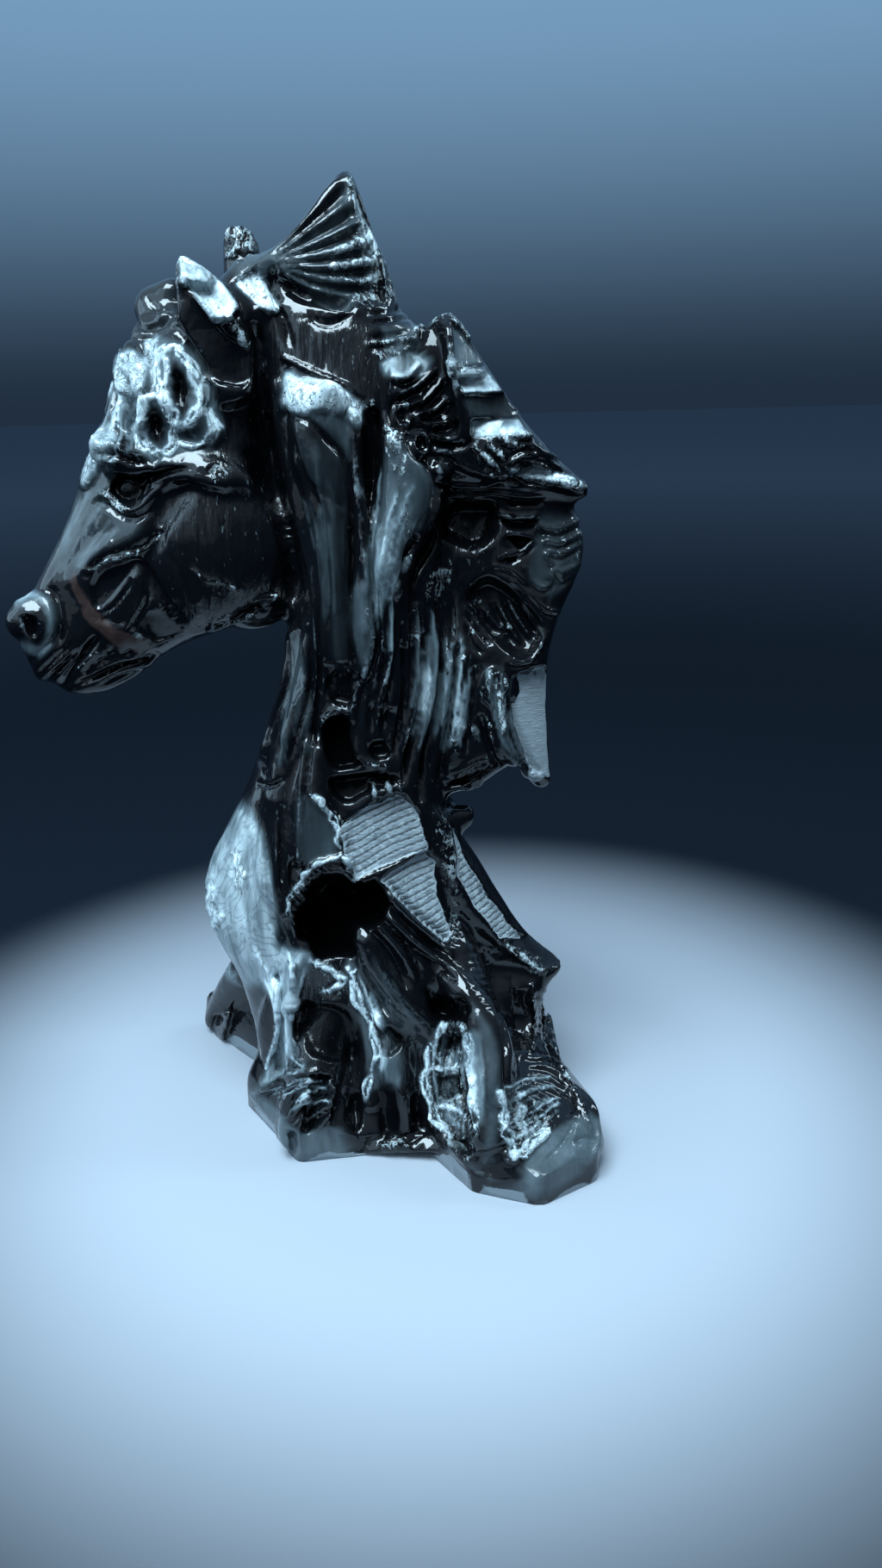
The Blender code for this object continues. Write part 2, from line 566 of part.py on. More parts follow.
def carve_base(carving):
    """The cave, the sawn faces and the hollows of the near side of the base."""
    carving.stroke([(-49, 112), (-51, 92), (-50, 72), (-47, 58)], 4, 2.5, plane=SEAT)
    carving.stroke([(-37, 106), (-37, 96), (-38, 87)], 6, 2.4, plane=SEAT)
    carving.flatten([(-28, 107), (-10, 112), (-1, 99), (-2, 94), (-22, 86), (-26, 92)], 2.5, SEAT)
    carving.flatten([(-15, 85), (-3, 94), (1, 84), (3, 66), (-4, 72)], 3.5, SEAT)
    carving.flatten([(5, 101), (10, 86), (20, 69), (25, 63), (19, 62), (8, 79), (3, 97)], 1.5, SEAT)
    saw = SAW_PITCH / MM
    for i in range(int(SAWN_HEIGHT / SAW_PITCH)):
        low = 90 + i * saw
        carving.stroke([(-25, low), (-14, low + 2.5), (-2, low + 5)], 1.3, 0.8, plane=SEAT)
    carving.stroke([(-37, 74), (-31, 77), (-26, 77)], 8, 13, "pit", plane=SEAT)
    carving.stroke([(-16, 79), (-15, 74)], 4, 8, "pit", plane=SEAT)
    carving.stroke([(-9, 61), (-2, 51), (5, 41)], 3.4, 6, "pit", plane=SEAT)
    carving.stroke([(-71, 82), (-70, 72)], 4, 1.6, plane=SEAT)
    carving.stroke([(-28, 56), (-29, 40), (-30, 24), (-28, 6)], 6.5, 5, plane=SEAT)
    carving.stroke([(-8, 44), (-6, 30), (-4, 14), (-6, -2)], 5, 4.5, plane=SEAT)
    carving.stroke([(1, 33), (2, 18), (4, 2), (8, -8)], 5.5, 3.5, plane=SEAT)
    carving.stroke([(27, 24), (28, 8), (30, -4)], 5, 3, plane=SEAT)
    for i in range(4):
        carving.stroke([(-54 + 3 * i, 12 - 4 * i), (-46 + 3 * i, 11 - 4 * i), (-38 + 3 * i, 15 - 4 * i)],
                       1.8, 1.6, plane=SEAT)


def finish(body):
    """Thins the skin to flat triangles and cuts the underside flat."""
    skin(body, 0)
    thin = body.modifiers.new("Thin", "DECIMATE")
    thin.ratio = TRIANGLES / (2 * len(body.data.polygons))
    thin.use_collapse_triangulate = True
    apply_modifiers(body)
    mesh = bmesh.new()
    mesh.from_mesh(body.data)
    everything = mesh.verts[:] + mesh.edges[:] + mesh.faces[:]
    bmesh.ops.bisect_plane(mesh, geom=everything, plane_co=(0, 0, 0), plane_no=(0, 0, -1), clear_outer=True)
    rim = [edge for edge in mesh.edges if edge.is_boundary]
    bmesh.ops.holes_fill(mesh, edges=rim, sides=0)
    bmesh.ops.triangulate(mesh, faces=[face for face in mesh.faces if len(face.verts) > 3])
    bmesh.ops.recalc_face_normals(mesh, faces=mesh.faces)
    mesh.to_mesh(body.data)
    mesh.free()


def black_glass():
    glass = bpy.data.materials.new("black volcanic glass")
    glass.use_nodes = True
    shader = glass.node_tree.nodes["Principled BSDF"]
    shader.inputs["Base Color"].default_value = (0.006, 0.007, 0.009, 1)
    shader.inputs["Roughness"].default_value = 0.08
    shader.inputs["Metallic"].default_value = 0
    return glass


def carved_body():
    """The whole work at the full fineness of its skin."""
    forms = head() + forelock() + ears() + neck() + mane() + fin() + foot() + ridges_of_the_foot()
    body = join(forms, "masses", 3)
    strands = strands_on(body)
    body = join([bmesh_of(body)] + strands, "horse_head", 2)
    carving = Carving(body)
    for side in (NEAR, FAR):
        carve_head(carving, side)
        carve_mane(carving, side)
        carve_neck(carving, side)
    carve_ears(carving)
    carve_near_mane(carving)
    carve_near_neck(carving)
    carve_base(carving)
    carving.finish()
    return body


def main():
    for old in list(bpy.data.objects):
        bpy.data.objects.remove(old, do_unlink=True)
    body = carved_body()
    finish(body)
    body.data.materials.append(black_glass())


main()
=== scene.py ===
# %% [markdown]
# # A horse head carved from volcanic glass
# The object is one block of black volcanic glass, cut into a horse's head and neck with a ragged
# mane, on a foot cut from the same block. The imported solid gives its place, size and large forms.
# This lesson builds the same forms again with a much finer skin, cuts the small relief into it,
# and gives the glass its polished, ground and sawn finishes.

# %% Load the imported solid
import math
import random

import bmesh
import bpy
import numpy as np
from mathutils import Matrix, Vector
from mathutils.bvhtree import BVHTree


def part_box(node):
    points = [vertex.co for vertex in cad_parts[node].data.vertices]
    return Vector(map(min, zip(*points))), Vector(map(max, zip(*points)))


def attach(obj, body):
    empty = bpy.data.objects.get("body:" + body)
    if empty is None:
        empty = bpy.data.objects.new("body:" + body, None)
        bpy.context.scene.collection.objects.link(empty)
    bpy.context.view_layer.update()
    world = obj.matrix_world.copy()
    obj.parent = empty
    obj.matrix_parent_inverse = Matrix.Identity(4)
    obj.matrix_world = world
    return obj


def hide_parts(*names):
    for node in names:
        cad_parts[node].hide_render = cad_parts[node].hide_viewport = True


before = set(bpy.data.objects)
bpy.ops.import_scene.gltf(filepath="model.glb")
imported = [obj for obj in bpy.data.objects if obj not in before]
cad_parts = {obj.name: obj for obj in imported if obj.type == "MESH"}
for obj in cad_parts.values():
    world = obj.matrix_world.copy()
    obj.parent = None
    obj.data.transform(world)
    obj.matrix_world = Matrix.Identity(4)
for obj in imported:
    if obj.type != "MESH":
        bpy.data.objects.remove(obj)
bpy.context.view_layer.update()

low_corner, high_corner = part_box("horse_head")
print("packed solid", [round(1000 * size, 1) for size in high_corner - low_corner], "mm")

# %% [markdown]
# ## Working in drawn millimetres
# Every station below is in drawn millimetres on a work 284.35 mm tall, so `MM` turns them into
# metres at whatever size the solid was packed. +Z is up, the nose points along -X, and the shown
# side faces -Y. Lines of the carving are drawn as one eye in front of the work sees them on the
# middle plane Y = 0, as a carver draws the profile on the face of the block.

# %% Sizes that the whole lesson uses
DRAWN_HEIGHT = 284.35
MM = (high_corner.z - low_corner.z) / DRAWN_HEIGHT
EYE = Vector((3.5, -352.7, 233.9))
NEAR = -1
FAR = 1
SEAT = 20
ROUGH_GRAIN = 1.3
FINE_GRAIN = 0.72
TRIANGLES = 192_000
print("drawn millimetre", round(1000 * MM, 4), "mm, fine grain", FINE_GRAIN)

# %% [markdown]
# ## Curves and closed forms
# A carver thinks of a few stations and lets the line run between them. `through` does that, and
# the forms below are skins stretched over rings of such points. They overlap freely, because a
# voxel skin joins them later.

# %% Curves through stations


def placed(name, data):
    """A new object with this data, in the scene."""
    thing = bpy.data.objects.new(name, data)
    bpy.context.scene.collection.objects.link(thing)
    return thing


def rows_of(layer, name):
    """The vectors of a mesh's layer, one to a row."""
    flat = np.empty(len(layer) * 3)
    layer.foreach_get(name, flat)
    return flat.reshape(-1, 3)


def through(points, steps):
    """A smooth curve through the points, as rows of numbers."""
    rows = np.asarray(points, float)
    ends = np.vstack([2 * rows[0] - rows[1], rows, 2 * rows[-1] - rows[-2]])
    out = []
    for a, b, c, d in zip(ends, ends[1:], ends[2:], ends[3:]):
        for t in np.arange(steps) / steps:
            out.append(0.5 * (2 * b + (c - a) * t + (2 * a - 5 * b + 4 * c - d) * t ** 2
                              + (3 * b - a - 3 * c + d) * t ** 3))
    out.append(rows[-1])
    return np.array(out)


def round_trip(points, steps):
    """A smooth closed curve through the points."""
    rows = np.asarray(points, float)
    lap = through(np.vstack([rows[-1], rows, rows[:2]]), steps)
    return lap[steps:-steps - 1]


def straight_sides(corners, steps):
    """Points along the straight sides of a closed outline."""
    sides = zip(corners, np.roll(corners, -1, axis=0))
    return np.array([a + (b - a) * t for a, b in sides for t in np.arange(steps) / steps])


def seen(x, z, y):
    """The place at depth y that the near eye sees at x, z on the middle plane."""
    share = 1 - y / EYE.y
    return np.array([EYE.x + (x - EYE.x) * share, y, EYE.z + (z - EYE.z) * share])


def on_seat(points):
    """Points read on the plane in front of the base, as the eye sees them on the middle plane."""
    grow = EYE.y / (EYE.y + SEAT)
    return [(EYE.x + (x - EYE.x) * grow, EYE.z + (z - EYE.z) * grow, *more) for x, z, *more in points]


# %% Forms over rings


def solid_from_rings(rings):
    """A closed mesh through equal rings of points, with a flat cap at each end."""
    rings = np.asarray(rings)
    count, around = rings.shape[:2]
    mesh = bmesh.new()
    verts = [mesh.verts.new(point) for point in rings.reshape(-1, 3) * MM]
    for i in range(count - 1):
        for j in range(around):
            a = i * around + j
            b = i * around + (j + 1) % around
            mesh.faces.new((verts[a], verts[b], verts[b + around], verts[a + around]))
    mesh.faces.new(verts[around - 1::-1])
    mesh.faces.new(verts[-around:])
    bmesh.ops.recalc_face_normals(mesh, faces=mesh.faces)
    return mesh


def ribbed(ribs, mid=0.0, square=2.0, taper=0.0, around=40, steps=4):
    """A form through ribs: front x and z, back x and z, half depth on the near and far side."""
    rows = through([rib if len(rib) > 5 else (*rib, rib[4]) for rib in ribs], steps)
    turn = np.linspace(0, 2 * math.pi, around, endpoint=False)
    forward = np.sign(np.cos(turn)) * np.abs(np.cos(turn)) ** (2 / square)
    across = np.sign(np.sin(turn)) * np.abs(np.sin(turn)) ** (2 / square)
    rings = []
    for front_x, front_z, back_x, back_z, near, far in rows:
        depth = np.where(across < 0, near, far) * (1 - taper * forward)
        x = (front_x + back_x) / 2 + forward * (front_x - back_x) / 2
        z = (front_z + back_z) / 2 + forward * (front_z - back_z) / 2
        rings.append(np.stack([x, mid + across * depth, z], 1))
    return solid_from_rings(rings)


def rope(path, steps=4, around=16):
    """A rounded strand along x, y, z, radius."""
    rows = through(path, steps)
    rows = np.vstack([rounded_end(rows[0], rows[1])[::-1], rows, rounded_end(rows[-1], rows[-2])])
    turn = np.linspace(0, 2 * math.pi, around, endpoint=False)
    rings = []
    for i, row in enumerate(rows):
        before = rows[max(i - 1, 0)][:3]
        after = rows[min(i + 1, len(rows) - 1)][:3]
        run = (after - before) / np.linalg.norm(after - before)
        side = np.cross(run, (0.05, 1, 0.03))
        side /= np.linalg.norm(side)
        up = np.cross(side, run)
        rings.append(row[:3] + row[3] * (np.outer(np.cos(turn), side) + np.outer(np.sin(turn), up)))
    return solid_from_rings(rings)


def rounded_end(last, inner):
    """Two more rows that round off a strand beyond its last row."""
    run = (last[:3] - inner[:3]) / np.linalg.norm(last[:3] - inner[:3])
    rows = []
    for turn in (0.6, 1.2):
        rows.append([*(last[:3] + run * last[3] * math.sin(turn)), last[3] * math.cos(turn)])
    return np.array(rows)


def ball(centre, radii, tilt=0.0):
    """An egg shape, turned by tilt degrees in the plane of the profile."""
    mesh = bmesh.new()
    bmesh.ops.create_icosphere(mesh, subdivisions=4, radius=1)
    stretch = Matrix.Diagonal((*(Vector(radii) * MM), 1))
    turn = Matrix.Rotation(math.radians(tilt), 4, "Y")
    place = Matrix.Translation(Vector(centre) * MM)
    bmesh.ops.transform(mesh, matrix=place @ turn @ stretch, verts=mesh.verts)
    return mesh


def mirrored(mesh):
    """The same form on the other side of the middle plane."""
    twin = mesh.copy()
    bmesh.ops.scale(twin, vec=(1, -1, 1), verts=twin.verts)
    bmesh.ops.reverse_faces(twin, faces=twin.faces)
    return twin


def on_both_sides(meshes):
    return meshes + [mirrored(mesh) for mesh in meshes]


# %% [markdown]
# ## The head
# The skull is one form through ribs that run from the front outline of the face to its back. The
# lips, cheeks, brows and eyes are forms of their own that overlap it. This is quicker to get right
# than one sculpted skin, because each rib is read straight off the profile.

# %% Skull, lips, cheeks, brows, eyes and nostrils


def head():
    skull = ribbed([
        (-121, 167, -119, 151, 8), (-117.5, 173, -116, 147, 10.5), (-112.5, 181, -108, 145, 12),
        (-108, 188, -99, 146, 12), (-104, 195, -90, 149, 13), (-100, 203, -80, 153.5, 15.5),
        (-96, 211, -70, 158, 18.5), (-92, 219, -58, 161.5, 20), (-87, 228, -48, 167, 20),
        (-81, 238, -42, 182, 19), (-73, 247, -41, 200, 17), (-62, 255, -42, 217, 14),
        (-52, 258, -44, 232, 10)], square=2.2, taper=0.22)
    lips = [
        ribbed([(-103, 164, -99, 153, 9), (-110, 161, -106, 151, 10), (-116, 157, -111, 147, 9.5),
                (-120.3, 150.5, -117, 146, 6)], square=2.4),
        ribbed([(-97, 160, -95, 147, 9), (-105, 153, -101, 142.4, 9.5), (-110, 148, -105, 142.2, 8),
                (-112.6, 144.6, -109, 142.6, 5)], square=2.4),
        ribbed([(-108, 149, -106, 142.2, 7), (-100, 153, -98, 142.6, 9.5), (-93, 157, -91, 145.8, 9.5),
                (-86, 159, -84, 149.8, 8.5), (-82, 160, -80.5, 153.6, 6)], square=2.4)]
    features = [
        ball(seen(-61, 186, -13), (20.5, 10.5, 23)),
        ball((-51, -8, 172), (12, 9, 10.3)),
        ball(seen(-84, 211, -14), (10, 6.5, 5), 20),
        rope([(*seen(-80, 206, -14), 3.5), (*seen(-70, 207.5, -18), 4.2), (*seen(-59, 206, -19.5), 4.5),
              (*seen(-50, 203, -18), 3)]),
        rope([(*seen(-108, 164, -6), 6), (*seen(-115, 165, -7.5), 7), (*seen(-120.5, 164.5, -8), 6.4)])]
    return [skull] + lips + on_both_sides(features)


# %% Forelock and ears


def forelock():
    curls = [
        ball((-71.5, 1, 251), (7.2, 8, 6.6)),
        ball((-67, 0, 255), (5, 7, 4)),
        ribbed([(-74, 250, -62, 246, 8), (-79, 243, -62, 239, 10), (-84.5, 235, -60, 232, 12),
                (-84.5, 228, -60, 226, 14), (-87, 222, -62, 220, 14), (-91, 216, -66, 214, 13),
                (-94, 211, -74, 210, 11)], square=2.3)]
    strands = [
        rope([(*seen(-69, 247, -7), 5), (*seen(-66, 237, -13), 6.5), (*seen(-65, 228, -15.5), 6.5),
              (*seen(-62, 221, -17), 5)]),
        rope([(*seen(-75, 244, -6), 5), (*seen(-76, 233, -11), 6.5), (*seen(-75, 224, -14), 6.5),
              (*seen(-74, 217, -15), 4)]),
        rope([(*seen(-80, 236, -3), 5), (*seen(-83, 226, -6), 5.5), (*seen(-88, 217, -8), 4.5),
              (*seen(-90, 212, -9), 3)])]
    return curls + on_both_sides(strands)


def ear(ribs, y):
    """An ear from ribs drawn as the near eye sees them at depth y."""
    rows = []
    for front_x, front_z, back_x, back_z, half in ribs:
        front = seen(front_x, front_z, y)
        back = seen(back_x, back_z, y)
        rows.append((front[0], front[2], back[0], back[2], half))
    return ribbed(rows, mid=y)


def ears():
    near = ear([(-65, 265, -63, 265, 1.6), (-66, 257, -57.5, 260.5, 4.5), (-66.3, 248, -51.5, 254.5, 6.5),
                (-65.5, 240, -47.5, 246, 7), (-62.5, 232, -45.5, 236, 7), (-58, 224, -46, 227, 6)], -15)
    far = ear([(-52, 270, -47, 271.5, 2.5), (-52.5, 265, -43, 268, 5), (-53, 257, -42, 261, 7),
               (-54, 247, -42, 250, 8), (-55, 238, -43, 240, 8)], 15)
    poll = ball((-44, 0, 251), (13, 14, 11.5))
    return [near, far, poll]


# %% [markdown]
# ## Neck, mane and foot
# The neck swells into the chest. The mane has three masses: the upright top lock, the second lock
# with its ledge, and the curtain that hangs from the ledge. The foot is drawn level by level, from
# the spread outline on the ground to the waist under the neck.

# %% Neck and mane


def neck():
    core = ribbed([
        (-52, 254, -14, 254, 11), (-50, 246, -4, 249, 15), (-46, 232, 1, 241, 18), (-42, 214, 5, 222, 20),
        (-41, 195, 6, 196, 21), (-41, 176, 6, 176, 21), (-42, 158, 6, 157, 22), (-46, 142, 6, 138, 23),
        (-51, 128, 5, 120, 24), (-57, 113, 6, 106, 26), (-65, 98, 7, 95, 27, 29), (-72, 85, 8, 85, 28, 31),
        (-74, 72, 10, 74, 29, 32), (-71, 60, 14, 62, 29, 34), (-66, 48, 20, 50, 29, 35),
        (-63, 34, 25, 34, 30, 36), (-61, 20, 29, 18, 31, 36), (-60, 8, 30, 6, 31, 36)],
        square=2.4, taper=0.12, around=56)
    return [core]


def mane():
    top_lock = ribbed([
        (-50, 263, -47, 254, 8), (-40, 265, -37, 252, 11), (-33, 269.5, -28, 250, 12),
        (-26, 277.3, -19, 248.5, 11), (-19.5, 284, -8, 248, 9), (-16.5, 284.6, -4.5, 249, 6)], square=2.8)
    second_lock = ribbed([
        (-14, 249, -8, 205, 16), (0, 243.5, -2, 203, 17), (8, 247.5, 6, 202.5, 14),
        (13, 243, 13, 201.5, 14), (20, 233, 20, 200.5, 13.5), (28, 221.5, 28, 199.5, 12.5),
        (38, 210, 38, 198, 10.5), (48.5, 200.5, 48, 196.5, 5)], square=3.0)
    curtain = ribbed([
        (-6, 204, 42, 199, 8, 11), (-6, 194, 45, 193, 7, 12), (-6, 184, 47.5, 184, 8, 12),
        (-6, 175, 46, 175, 9, 13), (-8, 164, 41, 164, 11, 13), (-10, 153, 37.5, 153, 14, 13),
        (-10, 142, 36.5, 142, 15, 13), (-10, 130, 36.6, 131, 15, 12), (-10, 121, 35, 122, 15, 12),
        (-9, 114, 27, 118.5, 13, 10), (-6, 107, 17, 111.5, 11, 9)], square=3.2, around=56)
    corner = ribbed([
        (20, 134, 36.6, 133, 9, 8), (25, 124, 37, 124, 8, 7), (28.5, 116, 37.8, 115, 7, 6),
        (31, 111, 38.2, 110.5, 5, 4.5), (33.5, 108, 37.6, 108.5, 3, 3)], mid=-2, square=2.6)
    return [top_lock, second_lock, curtain, corner]


# %% Fin and foot


def fin():
    blade = ribbed([
        (-6, 112, 6, 104, 14, 12), (-6, 98, 9.5, 94, 14, 12), (-6, 86, 15.5, 84, 13, 12),
        (-6, 75, 21.5, 73, 12, 11), (-6, 63, 31, 58, 9, 9), (-4, 52, 42.5, 47.5, 7, 7),
        (-4, 44, 38, 42, 12, 10), (-2, 34, 35, 32, 14, 12), (0, 22, 36, 18, 18, 14)], mid=-6, square=2.2)
    block = ribbed([(4, 104, 13, 104, 4), (4, 100, 14, 100.5, 4.5), (5, 96, 12, 97, 4)], mid=-6, square=5)
    return [blade, block]


BELOW = -4
WAIST = 62


def foot():
    spread = np.array([
        (-88, 39), (-62, 10), (-64.5, -13), (-44, -44), (-22, -41), (-3, -41), (10, -60), (30, -67),
        (48, -56), (50.5, -43), (42, 2), (43, 22), (30, 40), (6, 46), (-20, 43), (-48, 50), (-70, 45)])
    # The upright rim is high at the spurs and low in the valleys between them.
    rim = np.array([15, 7, 12, 13, 6, 5, 11, 12, 15, 18, 9, 9, 13, 7, 8, 14, 12])
    waist = np.array([
        (-54, 20), (-52, 10), (-52, -4), (-42, -18), (-22, -20), (-9, -19), (-2, -18), (4, -17), (8, -14),
        (9, -8), (9, 2), (9, 10), (6, 18), (0, 23), (-20, 26), (-40, 27), (-50, 25)])
    # Each level is its share of the way up from the rim, and from the spread in to the waist.
    levels = [(0, 0.03), (0.12, 0.28), (0.28, 0.5), (0.52, 0.75), (0.84, 0.95), (1, 1)]
    stations = [(spread, np.full(len(rim), BELOW)), (spread, rim * 0.5)]
    stations += [((1 - inward) * spread + inward * waist, rim + (WAIST - rim) * up)
                 for up, inward in levels]
    rows = [straight_sides(np.column_stack([outline, height]), 5).ravel() for outline, height in stations]
    rings = through(rows, 3)
    return [solid_from_rings(rings.reshape(len(rings), -1, 3))]


def ridges_of_the_foot():
    return [
        rope([(6, -20, 62, 7), (11, -28, 48, 8), (16, -38, 32, 8.5), (21, -50, 16, 8), (26, -59, 4, 6)]),
        rope([(-26, -22, 54, 6), (-33, -28, 40, 7.5), (-39, -34, 24, 8.5), (-44, -39, 8, 7)]),
        rope([(-12, -24, 52, 5), (-14, -29, 36, 6), (-12, -34, 20, 6), (-12, -37, 6, 5)]),
        rope([(-58, 14, 48, 8), (-66, 22, 33, 8), (-75, 31, 18, 7), (-83, 36, 5, 5)]),
        rope([(28, -14, 28, 5), (34, -28, 18, 6), (42, -41, 12, 7.5), (45.5, -48, 8, 6)]),
        rope([(20, 16, 50, 8), (27, 25, 28, 9), (32, 32, 8, 8)]),
        rope([(-40, 26, 50, 8), (-45, 36, 26, 9), (-47, 43, 8, 7)])]


# %% [markdown]
# ## One skin over all the forms
# A voxel remesh turns the overlapping forms into one closed skin of even quads, as if they had been
# cut from one block. A coarse skin is enough for the first join. The fine one comes later.

# %% Join and skin


def bmesh_of(body):
    mesh = bmesh.new()
    mesh.from_mesh(body.data)
    bpy.data.objects.remove(body, do_unlink=True)
    return mesh


def apply_modifiers(body):
    """Makes what the modifiers show the object's own mesh."""
    graph = bpy.context.evaluated_depsgraph_get()
    result = bpy.data.meshes.new_from_object(body.evaluated_get(graph))
    body.modifiers.clear()
    body.data = result


def skin(body, grain, smoothing):
    """One even skin of small faces over everything that the object holds."""
    cells = body.modifiers.new("Skin", "REMESH")
    cells.mode = "VOXEL"
    cells.voxel_size = grain * MM
    if smoothing:
        soften = body.modifiers.new("Soften", "SMOOTH")
        soften.iterations = smoothing
    apply_modifiers(body)


def join(meshes, name, grain, smoothing):
    """Joins closed forms into one skin, with the edges between them softened."""
    whole = bmesh.new()
    for mesh in meshes:
        part = bpy.data.meshes.new("form")
        mesh.to_mesh(part)
        mesh.free()
        whole.from_mesh(part)
        bpy.data.meshes.remove(part)
    data = bpy.data.meshes.new(name)
    whole.to_mesh(data)
    whole.free()
    body = placed(name, data)
    skin(body, grain, smoothing)
    return body


body = join(head() + forelock() + ears() + neck() + mane() + fin() + foot() + ridges_of_the_foot(),
            "masses", ROUGH_GRAIN, 3)
print("masses", len(body.data.vertices), "points")

# %% [markdown]
# ## A drawing on each side of the block
# `Side` is what one eye sees of the skin. It works out where each point of the skin stands in the
# drawing, and which points the eye really sees, so a line drawn over the ear doesn't cut the neck
# behind it. Cuts are summed first and made once, so their order doesn't matter.

# %% What one eye sees


def hill(t):
    """A rounded rise that starts and ends level."""
    return (1 - t ** 2) ** 2


def crease(t):
    """A narrow valley or crest with soft flanks."""
    return (1 - np.clip(t - 0.15, 0, 1) / 0.85) ** 1.6


def roll(t):
    """A full round, like half a rod."""
    return np.sqrt(1 - t ** 2)


def ease(t):
    """A smooth step from 0 to 1."""
    t = np.clip(t, 0, 1)
    return t * t * (3 - 2 * t)


class Side:
    """One side of the skin as its eye sees it, with everything that is cut or painted there."""

    # In drawn millimetres: a cell of the depth map, the depth from which a point is hidden, and how
    # far round an outline to look. In grains: the narrowest stroke and the width of a face's edge.
    CELL = 1.5
    OVERLAP = 4.0
    MARGIN = 6
    NARROWEST = 1.9
    EDGE = 0.45

    def __init__(self, body, side):
        self.body = body
        self.side = side
        self.points = rows_of(body.data.vertices, "co") / MM
        self.normals = rows_of(body.data.vertex_normals, "vector")
        self.eye = np.array((EYE.x, -side * EYE.y, EYE.z))
        ray = self.points - self.eye
        reach = -self.eye[1] / ray[:, 1]
        self.x = self.eye[0] + ray[:, 0] * reach
        self.z = self.eye[2] + ray[:, 2] * reach
        self.depth = np.linalg.norm(ray, axis=1)
        self.ray = ray / self.depth[:, None]
        self.facing = -(self.normals * self.ray).sum(1)
        self.shown = self.front_points()
        self.lift = np.zeros(len(ray))
        self.push = np.zeros(len(ray))
        self.moved = self.points.copy()
        self.layers = {}

    def front_points(self):
        """How far each point is one that the eye sees, from 0 to 1."""
        column = ((self.x - self.x.min()) / self.CELL).astype(int)
        row = ((self.z - self.z.min()) / self.CELL).astype(int)
        nearest = np.full((column.max() + 1, row.max() + 1), np.inf)
        np.minimum.at(nearest, (column, row), self.depth)
        behind = self.depth - nearest[column, row]
        return np.clip(self.facing * 4 + 0.6, 0, 1) * np.clip(2 - behind / self.OVERLAP, 0, 1)

    def layer(self, name):
        return self.layers.setdefault(name, np.zeros(len(self.points)))

    def boxed(self, rows, margin):
        """Which seen points are in the box round the rows."""
        low = rows.min(0) - margin
        high = rows.max(0) + margin
        inside = (self.x > low[0]) & (self.x < high[0]) & (self.z > low[1]) & (self.z < high[1])
        return np.flatnonzero(inside & (self.shown > 0))

    def near_line(self, path, reach):
        """Points within reach of a line: which, how far from it, how far along it, and its own swell."""
        rows = np.asarray(path, float)
        if rows.shape[1] == 2:
            rows = np.column_stack([rows, np.ones(len(rows))])
        rows = through(rows, 5)
        chosen = self.boxed(rows[:, :2], reach * rows[:, 2].max())
        place = np.column_stack([self.x[chosen], self.z[chosen]])
        best = np.full(len(chosen), np.inf)
        wide = np.ones(len(chosen))
        along = np.zeros(len(chosen))
        for i, (a, b) in enumerate(zip(rows, rows[1:])):
            run = b[:2] - a[:2]
            t = np.clip((place - a[:2]) @ run / max(run @ run, 1e-9), 0, 1)
            off = place - a[:2] - t[:, None] * run
            distance = np.hypot(off[:, 0], off[:, 1])
            closer = distance < best
            best[closer] = distance[closer]
            wide[closer] = (a[2] + (b[2] - a[2]) * t)[closer]
            along[closer] = (i + t[closer]) / (len(rows) - 1)
        share = best / (reach * np.maximum(wide, 1e-3))
        inside = share < 1
        return chosen[inside], share[inside], along[inside], wide[inside]

    def stroke(self, path, width, height, form=hill, ends=0.2):
        """Raises (height over 0) or cuts (under 0) along a line."""
        chosen, share, along, wide = self.near_line(path, max(width, self.NARROWEST * FINE_GRAIN))
        shape = form(share) * wide
        if ends:
            shape = shape * np.sqrt(np.clip(np.minimum(along, 1 - along) / ends, 0, 1))
        self.lift[chosen] += height * shape * self.shown[chosen]

    def cut(self, path, width, depth, ends=0.2):
        """A narrow valley along a line."""
        self.stroke(path, width, -depth, crease, ends)

    def crest(self, path, width, height, ends=0.2):
        """A narrow crest along a line."""
        self.stroke(path, width, height, crease, ends)

    def inside(self, outline, rounded=True):
        """Drawn distance of each point from an outline, over 0 inside it."""
        corners = round_trip(outline, 5) if rounded else np.asarray(outline, float)
        chosen = self.boxed(corners, self.MARGIN)
        x = self.x[chosen]
        z = self.z[chosen]
        best = np.full(len(chosen), np.inf)
        within = np.zeros(len(chosen), bool)
        for (x1, z1), (x2, z2) in zip(corners, np.roll(corners, -1, axis=0)):
            run_x = x2 - x1
            run_z = z2 - z1
            t = np.clip(((x - x1) * run_x + (z - z1) * run_z) / max(run_x ** 2 + run_z ** 2, 1e-9), 0, 1)
            best = np.minimum(best, np.hypot(x - x1 - t * run_x, z - z1 - t * run_z))
            crosses = (z1 > z) != (z2 > z)
            at = x1 + (z - z1) * run_x / (run_z if run_z else 1e-9)
            within ^= crosses & (x < at)
        return chosen, np.where(within, best, -best)

    def hollow(self, outline, depth, lip, rounded=True):
        """Sinks the skin inside an outline away from the eye, over a lip of that width."""
        chosen, inner = self.inside(outline, rounded)
        self.push[chosen] += depth * ease(inner / lip) * self.shown[chosen]

    def swell(self, outline, height, lip):
        """Raises the skin inside an outline into a round."""
        chosen, inner = self.inside(outline)
        shape = roll(1 - np.clip(inner / lip, 0, 1))
        self.lift[chosen] += height * shape * self.shown[chosen]

